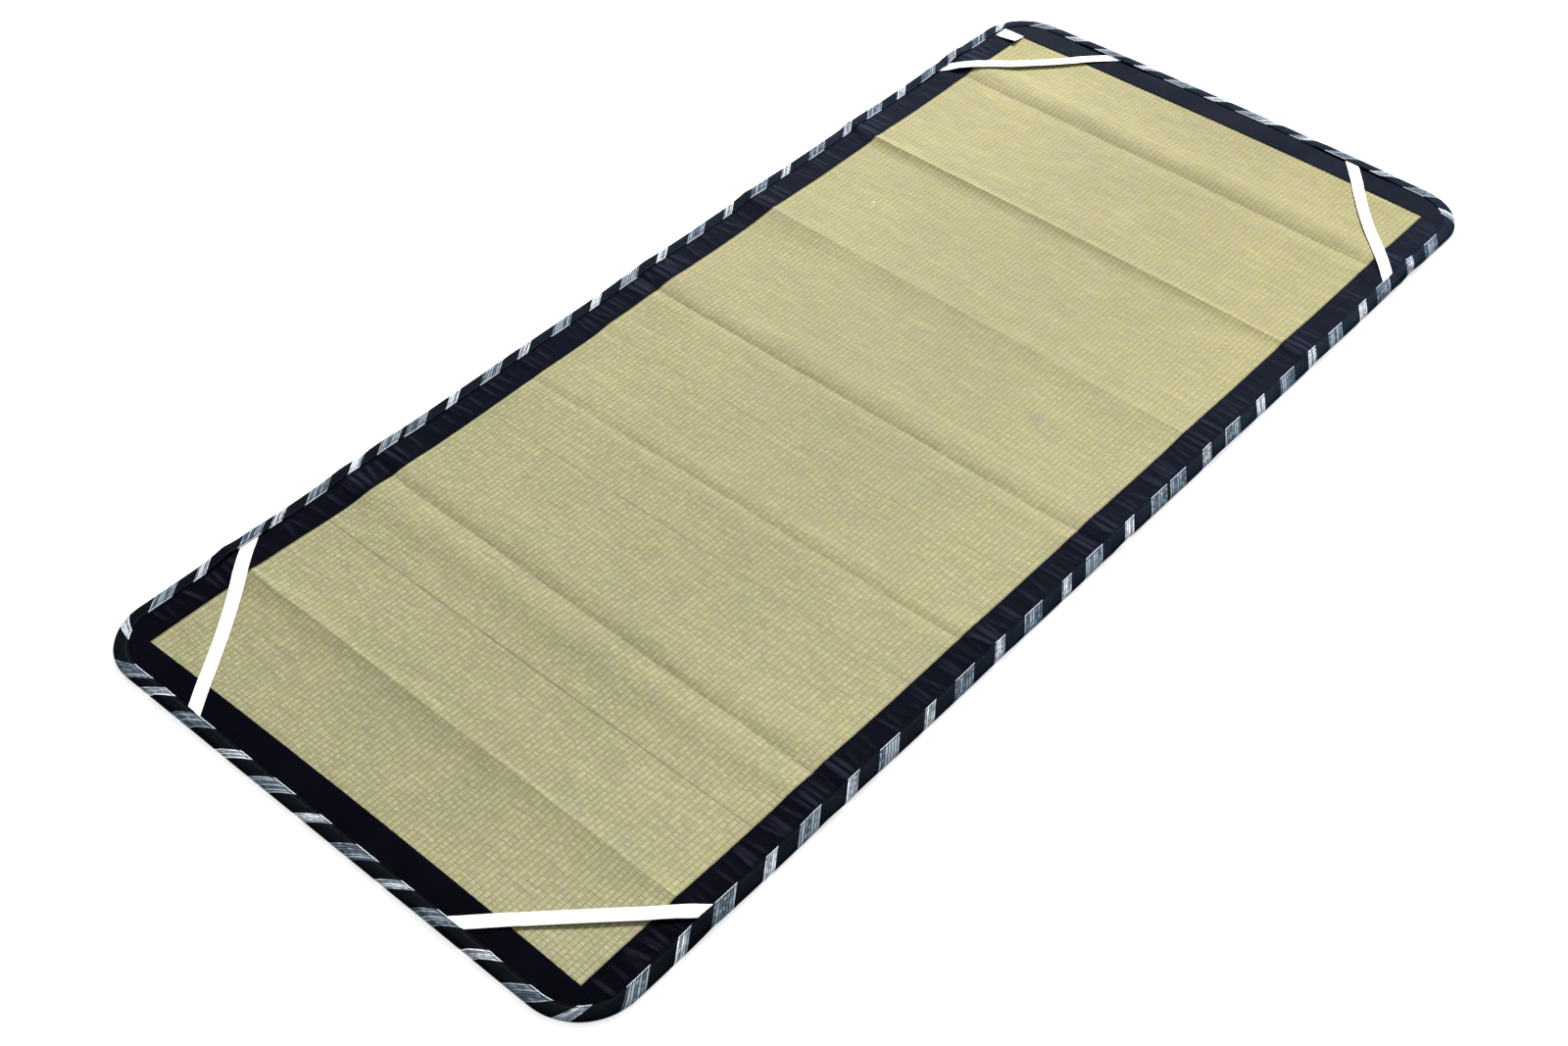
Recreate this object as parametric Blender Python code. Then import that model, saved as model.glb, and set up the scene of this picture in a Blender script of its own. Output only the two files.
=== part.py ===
"""A rush floor mat of about 90 by 200 centimetres, with a cloth border, a bound edge and corner straps.

The mat lies on the floor as it was unfolded, so low creases cross it. +X runs across the mat, +Y along
it and +Z up, and the origin is on the floor under its middle. Each piece is drawn in the mat's flat
pattern, with u across and v along, and every piece is then laid over the same creases.
"""

import math
from collections import namedtuple

import bmesh
import bpy
import numpy as np

MM = 0.001

# Outline of the mat
WIDTH = 891 * MM
LENGTH = 2000 * MM
CORNER_RADIUS = 85 * MM
LEFT_SPREAD = 6.5 * MM  # how far the left edge strays out between the near end and the far end
FAR_BOW = 8 * MM  # how far the far edge falls back half a width away from its peak
FAR_PEAK = 110 * MM  # where across the mat the far edge reaches furthest

# Layers, from the floor up
GAP = 0.3 * MM
BINDING_THICKNESS = 1.0 * MM
RUSH_THICKNESS = 2.4 * MM
CLOTH_THICKNESS = 1.0 * MM
STRAP_THICKNESS = 1.0 * MM
LABEL_THICKNESS = 1.0 * MM
RUSH_BOTTOM = BINDING_THICKNESS + GAP
BORDER_BOTTOM = RUSH_BOTTOM + RUSH_THICKNESS + GAP
BORDER_TOP = BORDER_BOTTOM + CLOTH_THICKNESS
FLAP_BOTTOM = BORDER_TOP + GAP
FLAP_TOP = FLAP_BOTTOM + BINDING_THICKNESS

# Widths of the margin, measured in from the mat's edge
EDGE_INSET = 3.8 * MM  # the layers stop this far inside the binding's fold
BINDING_WIDTH = 19 * MM
SIDE_MARGIN = 59 * MM
NEAR_MARGIN = 56 * MM
FAR_MARGIN = 64 * MM
SEAM_U = WIDTH / 2 - SIDE_MARGIN
NEAR_SEAM_BOW = 4 * MM  # the near border is this much wider in the middle
SINK_RUN = 56 * MM  # the rush sinks from the margin to the floor over this run

# Puckers of the long border strips
PUCKER_HEIGHT = 0.6 * MM
PUCKER_PITCH = 24 * MM
PUCKER_SEED = 4
CALM_ROWS = 3  # rows without a pucker at each end of a strip
# Distance in from the mat's edge, and the share of a pucker's height there
PUCKER_PROFILE = (
    (EDGE_INSET, 0.0),
    (BINDING_WIDTH + 1 * MM, 0.0),
    (27 * MM, 1.0),
    (52 * MM, 0.8),
    (SIDE_MARGIN, 0.2),
)

# Steps of the meshes
STEEP_FLANK = 3 * MM  # a flank that climbs this much takes more rows than a gentle one
STEEP_STEPS = 3
GENTLE_STEPS = 2
FLAT_STEP = 80 * MM
CORNER_STEPS = 10
PANEL_CORNER_STEPS = 6
END_STEPS = 20
ROW_ROOM = 5 * MM  # rows are kept this far apart

# Straps
STRAP_WIDTH = 18.5 * MM
STRAP_TUCK = 10 * MM  # depth of a strap's end under the binding
STRAP_LIFTOFF = 30 * MM  # run over which a strap leaves the cloth at its ends
STRAP_COLUMNS = 4
STRAP_STEPS = 16
FLAP_RAISED = 55 * MM  # half the length of binding that a strap's end raises
FLAP_EASE = 25 * MM

# Label
LABEL_WIDTH = 38 * MM
LABEL_HEIGHT = 27 * MM
LABEL_CURL = 4 * MM
LABEL_OVER_RUSH = 3 * MM

# Lines across the mat where its surface turns up or down. left and right are millimetres from the near
# end along those edges; the heights are millimetres under the mat at its left, middle and right.
FoldLine = namedtuple("FoldLine", "left right left_z middle_z right_z")
FOLD_LINES = (
    FoldLine(0, 0, 0.0, 0.0, 0.0),
    FoldLine(169, 161, 0.0, 0.0, 0.0),
    FoldLine(220.5, 211.5, 6.6, 4.6, 3.6),
    FoldLine(253, 235, 2.4, 2.4, 1.6),
    FoldLine(325, 315, 0.0, 0.0, 0.0),
    FoldLine(385, 380, 0.0, 0.0, 0.0),
    FoldLine(425, 413, 3.2, 2.8, 2.4),
    FoldLine(465.5, 452, 0.3, 0.2, 0.2),
    FoldLine(495, 480, 2.8, 2.8, 2.4),
    FoldLine(550, 540, 0.5, 0.5, 0.5),
    FoldLine(600, 595, 0.0, 0.0, 0.0),
    FoldLine(690, 698, 0.0, 0.0, 0.0),
    FoldLine(718, 726, 0.4, 0.8, 0.8),
    FoldLine(735, 743.5, 0.0, 0.0, 0.0),
    FoldLine(757, 765, 0.9, 1.6, 1.6),
    FoldLine(779, 788, 0.3, 0.5, 0.5),
    FoldLine(840, 845, 0.0, 0.0, 0.0),
    FoldLine(950, 952, 0.0, 0.0, 0.0),
    FoldLine(983, 979, 1.4, 0.8, 1.3),
    FoldLine(1002, 1001.5, 0.1, 0.1, 0.1),
    FoldLine(1036, 1034, 3.4, 3.2, 2.4),
    FoldLine(1068, 1064, 1.4, 1.2, 0.8),
    FoldLine(1140, 1140, 0.0, 0.0, 0.0),
    FoldLine(1205, 1203, 0.0, 0.0, 0.0),
    FoldLine(1270, 1259, 5.2, 3.2, 3.2),
    FoldLine(1308, 1292, 2.4, 1.8, 1.6),
    FoldLine(1385, 1378, 0.0, 0.0, 0.0),
    FoldLine(1497, 1495, 0.0, 0.0, 0.0),
    FoldLine(1528, 1523, 6.0, 4.2, 3.6),
    FoldLine(1544, 1535, 3.4, 3.0, 2.4),
    FoldLine(1630, 1622, 0.0, 0.0, 0.0),
    FoldLine(1715, 1712, 0.0, 0.0, 0.0),
    FoldLine(1736, 1747, 1.4, 0.8, 1.5),
    FoldLine(1765.5, 1768, 0.2, 0.1, 0.1),
    FoldLine(1806, 1800, 4.6, 4.8, 3.6),
    FoldLine(1848, 1842, 1.0, 0.8, 0.6),
    FoldLine(1905, 1905, 0.0, 0.0, 0.0),
    FoldLine(2000, 2000, 0.0, 0.0, 0.0),
)

# side is -1 for the left edge and 1 for the right, end is -1 for the near end and 1 for the far end.
# along is measured from the near end and across from the mat's middle, where the strap meets the
# binding. bow is how far the slack strap stands over its taut line, swing how far it curves in towards
# the mat's middle, and tilt how much higher its inner edge stands.
Strap = namedtuple("Strap", "name side end along across bow swing tilt")
STRAPS = (
    Strap("strap_near_left", -1, -1, 250.5 * MM, -250 * MM, 3.0 * MM, 3.5 * MM, 0.4 * MM),
    Strap("strap_near_right", 1, -1, 219.5 * MM, 221 * MM, 2.0 * MM, 0.5 * MM, 1.2 * MM),
    Strap("strap_far_left", -1, 1, 1765.5 * MM, -228.5 * MM, 2.0 * MM, 6.0 * MM, 3.4 * MM),
    Strap("strap_far_right", 1, 1, 1759.5 * MM, 234 * MM, 2.5 * MM, 5.5 * MM, 0.8 * MM),
)

# The binding's section: distance in from the mat's edge and height, once round the folded strip
BINDING_SECTION = (
    (BINDING_WIDTH, 0.0),
    (2.6 * MM, 0.0),
    (0.0, 2.4 * MM),
    (0.9 * MM, 5.0 * MM),
    (5.0 * MM, FLAP_TOP + 0.1 * MM),
    (12.0 * MM, FLAP_TOP + 0.3 * MM),
    (BINDING_WIDTH, FLAP_TOP),
    (BINDING_WIDTH, FLAP_BOTTOM),
    (3.6 * MM, FLAP_BOTTOM),
    (1.3 * MM, 3.2 * MM),
    (2.6 * MM, BINDING_THICKNESS),
    (BINDING_WIDTH, BINDING_THICKNESS),
)
FLAP_STARTS = 3.0 * MM  # section points farther in than this and over the border belong to the upper flap

# Base colour and roughness of each material
FINISHES = {
    "woven_rush": ((0.50, 0.46, 0.25), 0.75),
    "border_cloth": ((0.016, 0.016, 0.028), 0.85),
    "binding_cloth": ((0.02, 0.027, 0.042), 0.8),
    "white_elastic": ((0.9, 0.9, 0.88), 0.7),
    "label_cloth": ((0.85, 0.85, 0.8), 0.7),
}


def clear_scene():
    for old in list(bpy.data.objects):
        bpy.data.objects.remove(old, do_unlink=True)


def finish(name):
    """The material of that name."""
    colour, roughness = FINISHES[name]
    material = bpy.data.materials.new(name)
    material.use_nodes = True
    shader = material.node_tree.nodes["Principled BSDF"]
    shader.inputs["Base Color"].default_value = (*colour, 1.0)
    shader.inputs["Roughness"].default_value = roughness
    shader.inputs["Metallic"].default_value = 0.0
    return material


def ease(t):
    """A smooth step from 0 to 1."""
    t = min(max(t, 0.0), 1.0)
    return t * t * (3 - 2 * t)


def refined_folds():
    """The fold lines with rows added between them, so that each flank is a smooth curve, in metres."""
    rows = []
    for here, there in zip(FOLD_LINES, FOLD_LINES[1:]):
        start = np.array(here) * MM
        change = np.array(there) * MM - start
        if here[2:] == there[2:]:
            steps = max(1, round(change[0] / FLAT_STEP))
        else:
            steps = STEEP_STEPS if abs(change[2]) > STEEP_FLANK else GENTLE_STEPS
        for step in range(steps):
            t = step / steps
            rows.append([*(start[:2] + change[:2] * t), *(start[2:] + change[2:] * ease(t))])
    rows.append(list(np.array(FOLD_LINES[-1]) * MM))
    return np.array(rows)


FOLDS = refined_folds()


def fold_places(u):
    """How far each fold row lies from the near end, at u across the mat."""
    share = 0.5 + u / WIDTH
    return FOLDS[:, 0] + (FOLDS[:, 1] - FOLDS[:, 0]) * share


def lift(u, v):
    """Height of the mat's underside over the floor, a curve through its left, middle and right."""
    share = 0.5 + u / WIDTH
    left = 2 * (share - 0.5) * (share - 1)
    middle = 4 * share * (1 - share)
    right = 2 * share * (share - 0.5)
    heights = FOLDS[:, 2] * left + FOLDS[:, 3] * middle + FOLDS[:, 4] * right
    return max(0.0, float(np.interp(v + LENGTH / 2, fold_places(u), heights)))


def place(u, v, height):
    """A point of the flat pattern, at a height over the floor, on the slightly crooked mat."""
    along = 0.5 + v / LENGTH
    from_right = 0.5 - u / WIDTH
    x = u + LEFT_SPREAD * (0.5 - ease(along) * from_right)
    y = v - FAR_BOW * along**3 * ((u - FAR_PEAK) / (WIDTH / 2)) ** 2
    return x, y, height


def lay(u, v, height):
    """The same, at a height over the mat's underside."""
    return place(u, v, height + lift(u, v))


def edge_distance(u, v):
    """How far a point of the flat pattern lies inside the mat's rounded outline."""
    over_u = abs(u) - (WIDTH / 2 - CORNER_RADIUS)
    over_v = abs(v) - (LENGTH / 2 - CORNER_RADIUS)
    if over_u > 0 and over_v > 0:
        return CORNER_RADIUS - math.hypot(over_u, over_v)
    return CORNER_RADIUS - max(over_u, over_v)


def half_width(v, inset):
    """Half the mat's width at v, inside its rounded outline by the inset."""
    past = abs(v) - (LENGTH / 2 - CORNER_RADIUS)
    radius = CORNER_RADIUS - inset
    side = WIDTH / 2 - inset
    if past <= 0:
        return side
    return side - radius + math.sqrt(max(radius**2 - past**2, 0.0))


def rush_bottom(u, v):
    """Underside of the rush: on the binding at the margin, on the floor inside it."""
    sunk = (edge_distance(u, v) - SIDE_MARGIN) / SINK_RUN
    return RUSH_BOTTOM * (1 - ease(sunk))


def add_object(name, mesh_data, material, parent):
    mesh = bpy.data.meshes.new(name)
    bmesh.ops.recalc_face_normals(mesh_data, faces=mesh_data.faces[:])
    mesh_data.to_mesh(mesh)
    mesh_data.free()
    mesh.materials.append(material)
    mesh.shade_smooth()
    mesh.set_sharp_from_angle(angle=math.radians(40))
    piece = bpy.data.objects.new(name, mesh)
    piece.parent = parent
    bpy.context.collection.objects.link(piece)
    return piece


def add_sheet(name, rows, thickness, material, parent):
    """A closed sheet over rows of underside points, thickened straight up."""
    sheet = bmesh.new()
    lines = [[sheet.verts.new(point) for point in row] for row in rows]
    for line, following in zip(lines, lines[1:]):
        for a, b, c, d in zip(line, line[1:], following[1:], following):
            sheet.faces.new((a, b, c, d))
    raised = bmesh.ops.extrude_face_region(sheet, geom=sheet.faces[:])
    top = [vert for vert in raised["geom"] if isinstance(vert, bmesh.types.BMVert)]
    bmesh.ops.translate(sheet, vec=(0, 0, thickness), verts=top)
    return add_object(name, sheet, material, parent)


def end_rows():
    """Distances in from an end of the mat for rows that keep its corners round and the sunk rush smooth."""
    arc = CORNER_RADIUS - EDGE_INSET
    turns = [math.pi / 2 * step / PANEL_CORNER_STEPS for step in range(PANEL_CORNER_STEPS + 1)]
    rounded = [EDGE_INSET + arc * (1 - math.cos(turn)) for turn in turns]
    return rounded + [SIDE_MARGIN + SINK_RUN * share for share in (0.6, 1.0)]


def panel_rows():
    """Distances from the near end, on the left and on the right, of each row of the rush panel."""
    ends = end_rows()
    first = ends[-1] + ROW_ROOM
    inner = [(left, right) for left, right in FOLDS[:, :2] if first < right and left < LENGTH - first]
    near = [(distance, distance) for distance in ends]
    far = [(LENGTH - distance, LENGTH - distance) for distance in reversed(ends)]
    return near + inner + far


def make_rush_panel(material, parent):
    """The woven panel, which reaches to the fold of the binding under the border."""
    reach = WIDTH / 2 - EDGE_INSET
    margin = [SIDE_MARGIN + SINK_RUN * share for share in (0.0, 0.35, 0.65, 1.0)]
    halves = [1.0] + [(WIDTH / 2 - distance) / reach for distance in margin] + [0.4]
    shares = [-half for half in halves] + [0.0] + halves[::-1]
    rows = []
    for left, right in panel_rows():
        row = []
        for share in shares:
            v = left + (right - left) * (0.5 + share / 2) - LENGTH / 2
            u = share * half_width(v, EDGE_INSET)
            row.append(lay(u, v, rush_bottom(u, v)))
        rows.append(row)
    return add_sheet("rush_panel", rows, RUSH_THICKNESS, material, parent)


def end_seam(end, u):
    """Distance of an end border's seam from that end of the mat."""
    if end > 0:
        return FAR_MARGIN
    return NEAR_MARGIN + NEAR_SEAM_BOW * max(0.0, 1 - (u / SEAM_U) ** 2)


def make_end_border(name, end, material, parent):
    """The strip of cloth across the near or the far end, from binding to binding."""
    rows = []
    for row_share in (0.0, 0.05, 0.18, 0.38, 0.66, 1.0):
        row = []
        for step in range(END_STEPS + 1):
            share = 2 * step / END_STEPS - 1
            inner = end_seam(end, share * WIDTH / 2) - GAP / 2
            distance = EDGE_INSET + (inner - EDGE_INSET) * row_share
            v = end * (LENGTH / 2 - distance)
            row.append(lay(share * half_width(v, EDGE_INSET), v, BORDER_BOTTOM))
        rows.append(row)
    return add_sheet(name, rows, CLOTH_THICKNESS, material, parent)


def side_rows(side):
    """Rows of a long border strip, as distances from the near end, close enough for its puckers."""
    first = NEAR_MARGIN + GAP / 2
    last = LENGTH - FAR_MARGIN - GAP / 2
    places = fold_places(side * WIDTH / 2)
    stops = [first] + [float(p) for p in places if first + ROW_ROOM < p < last - ROW_ROOM] + [last]
    rows = []
    for here, there in zip(stops, stops[1:]):
        steps = max(1, round((there - here) / PUCKER_PITCH))
        rows += [here + (there - here) * step / steps for step in range(steps)]
    return rows + [last]


def make_side_border(name, side, material, parent):
    """The strip of cloth along the left or the right edge, puckered where it was gathered in sewing."""
    rng = np.random.default_rng(PUCKER_SEED + side)
    distances = side_rows(side)
    rows = []
    for index, distance in enumerate(distances):
        v = distance - LENGTH / 2
        puckered = index % 2 and CALM_ROWS < index < len(distances) - CALM_ROWS
        pucker = PUCKER_HEIGHT * rng.uniform(0.3, 1.0) * puckered
        row = []
        for inset, share in PUCKER_PROFILE:
            reach = min(WIDTH / 2 - inset, half_width(v, EDGE_INSET))
            row.append(lay(side * reach, v, BORDER_BOTTOM + pucker * share))
        rows.append(row)
    return add_sheet(name, rows, CLOTH_THICKNESS, material, parent)


def rim_path():
    """Points round the mat's edge, counter-clockwise from above, each with its inward direction."""
    straight_u = WIDTH / 2 - CORNER_RADIUS
    straight_v = LENGTH / 2 - CORNER_RADIUS
    path = []

    def corner(centre_u, centre_v, start):
        for step in range(CORNER_STEPS + 1):
            angle = math.radians(start) + math.pi / 2 * step / CORNER_STEPS
            out_u, out_v = math.cos(angle), math.sin(angle)
            point = (centre_u + CORNER_RADIUS * out_u, centre_v + CORNER_RADIUS * out_v)
            path.append((*point, -out_u, -out_v))

    def end_line(end):
        for step in range(1, END_STEPS):
            u = -end * straight_u * (2 * step / END_STEPS - 1)
            path.append((u, end * LENGTH / 2, 0.0, -end))

    def side_line(side):
        places = fold_places(side * WIDTH / 2) - LENGTH / 2
        inside = [float(v) for v in places if abs(v) < straight_v - ROW_ROOM]
        for v in inside if side > 0 else inside[::-1]:
            path.append((side * WIDTH / 2, v, -side, 0.0))

    end_line(-1)
    corner(straight_u, -straight_v, -90)
    side_line(1)
    corner(straight_u, straight_v, 0)
    end_line(1)
    corner(-straight_u, straight_v, 90)
    side_line(-1)
    corner(-straight_u, -straight_v, 180)
    return path


def flap_lift(u, v):
    """How far the end of a strap under the binding raises its upper flap."""
    share = 0.0
    for strap in STRAPS:
        from_side = abs(u - strap.side * WIDTH / 2)
        from_end = abs(v - strap.end * LENGTH / 2)
        if from_side < from_end:
            away = abs(v + LENGTH / 2 - strap.along)
        else:
            away = abs(u - strap.across)
        if min(from_side, from_end) < BINDING_WIDTH * 2:
            share = max(share, 1 - ease((away - FLAP_RAISED) / FLAP_EASE))
    return share * (STRAP_THICKNESS + 2 * GAP)


def make_binding(material, parent):
    """The bias strip folded round the whole edge, over the border on top and back under the rush."""
    binding = bmesh.new()
    rings = []
    for u, v, in_u, in_v in rim_path():
        raised = flap_lift(u, v)
        ring = []
        for inset, height in BINDING_SECTION:
            if inset > FLAP_STARTS and height > BORDER_TOP:
                height += raised
            ring.append(binding.verts.new(lay(u + in_u * inset, v + in_v * inset, height)))
        rings.append(ring)
    for ring, following in zip(rings, rings[1:] + rings[:1]):
        for corner in range(len(ring)):
            after = (corner + 1) % len(ring)
            binding.faces.new((ring[corner], ring[after], following[after], following[corner]))
    return add_object("binding", binding, material, parent)


def under_strap(u, v):
    """Height over the floor of what a strap lies on: puckered border at the margin, rush inside."""
    if LENGTH / 2 - abs(v) < FAR_MARGIN:
        return lift(u, v) + BORDER_TOP
    from_side = WIDTH / 2 - abs(u)
    if from_side < SIDE_MARGIN + GAP:
        return lift(u, v) + BORDER_TOP + PUCKER_HEIGHT * float(np.interp(from_side, *zip(*PUCKER_PROFILE)))
    return lift(u, v) + rush_bottom(u, v) + RUSH_THICKNESS


def taut_line(shares, heights):
    """Heights of a cord pulled tight over those points."""
    line = []
    for i, share in enumerate(shares):
        best = heights[i]
        for j in range(i):
            for k in range(i + 1, len(shares)):
                t = (share - shares[j]) / (shares[k] - shares[j])
                best = max(best, heights[j] + (heights[k] - heights[j]) * t)
        line.append(best)
    return line


def strap_stations(length, tucks):
    """Shares of a strap's whole length at its rows, and how far each row is out of the binding."""
    free = length - sum(tucks)
    turns = [0.5 - 0.5 * math.cos(math.pi * step / STRAP_STEPS) for step in range(STRAP_STEPS + 1)]
    runs = [0.0] + [tucks[0] + free * turn for turn in turns] + [length]
    return [run / length for run in runs], [min(run - tucks[0], length - tucks[1] - run) for run in runs]


def strap_grid(strap):
    """Flat pattern points of a strap, a row for each station, with the stations' shares and runs."""
    fold = np.array([WIDTH / 2 - BINDING_WIDTH, LENGTH / 2 - BINDING_WIDTH])
    start = np.array([strap.side * fold[0], strap.along - LENGTH / 2])
    stop = np.array([strap.across, strap.end * fold[1]])
    way = (stop - start) / np.linalg.norm(stop - start)
    inward = np.array([-way[1], way[0]]) * -math.copysign(1.0, -way[1] * start[0] + way[0] * start[1])
    columns = []
    for column in range(STRAP_COLUMNS + 1):
        origin = start + inward * STRAP_WIDTH * (column / STRAP_COLUMNS - 0.5)
        first = (strap.side * (fold[0] + STRAP_TUCK) - origin[0]) / way[0]
        last = (strap.end * (fold[1] + STRAP_TUCK) - origin[1]) / way[1]
        columns.append((origin + way * first, origin + way * last))
    length = float(np.linalg.norm(columns[0][1] - columns[0][0]))
    shares, runs = strap_stations(length, [STRAP_TUCK / abs(step) for step in way])
    grid = []
    for share in shares:
        swung = inward * strap.swing * math.sin(math.pi * share) ** 2
        grid.append([first + (last - first) * share + swung for first, last in columns])
    return shares, runs, grid


def make_strap(strap, material, parent):
    """A slack elastic strap across a corner, with both ends caught under the binding."""
    shares, runs, grid = strap_grid(strap)
    under = [[under_strap(*point) for point in row] for row in grid]
    taut = taut_line(shares, [max(row) for row in under])
    rows = []
    for share, run, points, local, tight in zip(shares, runs, grid, under, taut):
        loose = tight + strap.bow * 4 * share * (1 - share)
        away = ease(run / STRAP_LIFTOFF)
        row = []
        for column, (point, low) in enumerate(zip(points, local)):
            raised = strap.tilt * column / STRAP_COLUMNS * math.sin(math.pi * share)
            row.append(place(*point, low + (loose + raised - low) * away + GAP))
        rows.append(row)
    return add_sheet(strap.name, rows, STRAP_THICKNESS, material, parent)


def make_label(material, parent):
    """The bare sewn-in label at the far left seam, with one corner curling up."""
    seam = LENGTH / 2 - FAR_MARGIN
    right = -SEAM_U + LABEL_OVER_RUSH
    rows = []
    for along in (0.0, 0.25, 0.5, 0.75, 1.0):
        row = []
        for across in (0.0, 0.25, 0.5, 0.75, 1.0):
            u = right - LABEL_WIDTH * (1 - across)
            v = seam - LABEL_HEIGHT * (1 - along)
            curl = LABEL_CURL * ((1 - along) * (0.25 + 0.75 * across)) ** 1.5
            row.append(lay(u, v, FLAP_BOTTOM + curl))
        rows.append(row)
    return add_sheet("label", rows, LABEL_THICKNESS, material, parent)


def main():
    clear_scene()
    materials = {name: finish(name) for name in FINISHES}
    mat = bpy.data.objects.new("rush_mat", None)
    bpy.context.collection.objects.link(mat)
    make_rush_panel(materials["woven_rush"], mat)
    make_end_border("border_near", -1, materials["border_cloth"], mat)
    make_end_border("border_far", 1, materials["border_cloth"], mat)
    make_side_border("border_left", -1, materials["border_cloth"], mat)
    make_side_border("border_right", 1, materials["border_cloth"], mat)
    make_binding(materials["binding_cloth"], mat)
    for strap in STRAPS:
        make_strap(strap, materials["white_elastic"], mat)
    make_label(materials["label_cloth"], mat)


main()
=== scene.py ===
"""The looks of a rush floor mat: woven rush, puckered dark borders, a striped binding folded round the edge,
four slack corner straps and a small bare label, all laid over the same low creases."""

import math
from collections import namedtuple

import bmesh
import bpy
import numpy as np
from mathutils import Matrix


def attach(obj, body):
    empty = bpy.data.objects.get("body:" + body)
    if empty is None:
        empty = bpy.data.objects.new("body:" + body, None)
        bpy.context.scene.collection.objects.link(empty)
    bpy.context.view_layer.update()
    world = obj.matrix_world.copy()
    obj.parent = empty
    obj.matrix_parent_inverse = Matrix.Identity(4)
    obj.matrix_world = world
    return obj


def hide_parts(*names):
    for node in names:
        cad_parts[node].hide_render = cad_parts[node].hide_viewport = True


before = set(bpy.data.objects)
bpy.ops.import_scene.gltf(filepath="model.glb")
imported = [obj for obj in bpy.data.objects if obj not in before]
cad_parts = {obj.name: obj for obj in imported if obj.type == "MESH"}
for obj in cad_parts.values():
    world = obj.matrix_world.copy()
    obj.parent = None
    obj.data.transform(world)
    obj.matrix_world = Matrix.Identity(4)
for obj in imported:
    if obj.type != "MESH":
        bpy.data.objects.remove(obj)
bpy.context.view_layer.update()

MM = 0.001

# Outline of the mat
WIDTH = 891 * MM
LENGTH = 2000 * MM
CORNER_RADIUS = 85 * MM
LEFT_SPREAD = 6.5 * MM
FAR_BOW = 8 * MM
FAR_PEAK = 110 * MM

# Layers, from the floor up
GAP = 0.3 * MM
BINDING_THICKNESS = 1.0 * MM
RUSH_THICKNESS = 2.4 * MM
CLOTH_THICKNESS = 1.0 * MM
STRAP_THICKNESS = 1.0 * MM
LABEL_THICKNESS = 0.6 * MM
RUSH_BOTTOM = BINDING_THICKNESS + GAP
BORDER_BOTTOM = RUSH_BOTTOM + RUSH_THICKNESS + GAP
BORDER_TOP = BORDER_BOTTOM + CLOTH_THICKNESS
FLAP_BOTTOM = BORDER_TOP + GAP

# Widths of the margin, measured in from the mat's edge
EDGE_INSET = 3.8 * MM
BINDING_WIDTH = 19 * MM
SIDE_MARGIN = 59 * MM
NEAR_MARGIN = 56 * MM
FAR_MARGIN = 64 * MM
SEAM_U = WIDTH / 2 - SIDE_MARGIN
NEAR_SEAM_BOW = 4 * MM
LEFT_WIDENING = 3 * MM  # of the left border between these distances from the near end
LEFT_WIDE_SPAN = (300 * MM, 900 * MM)
SINK_RUN = 56 * MM

# Rush weave
RIB_PITCH = 8.1 * MM
RIBS_EACH_SIDE = 48
SAMPLES_PER_RIB = 4
RIB_RELIEF = 0.22 * MM  # from the groove between two ribs to a rib's crest
RIB_UNEVEN = 0.05 * MM
RIB_FADE = 5 * MM
FINE_ROW = 1.5 * MM  # rows of the panel at a crease, and how they spread away from it
COARSE_ROW = 15 * MM
ROW_SPREAD = 0.36
UNDERSIDE_COLUMNS = 13
UNDERSIDE_ROWS = 2

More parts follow.
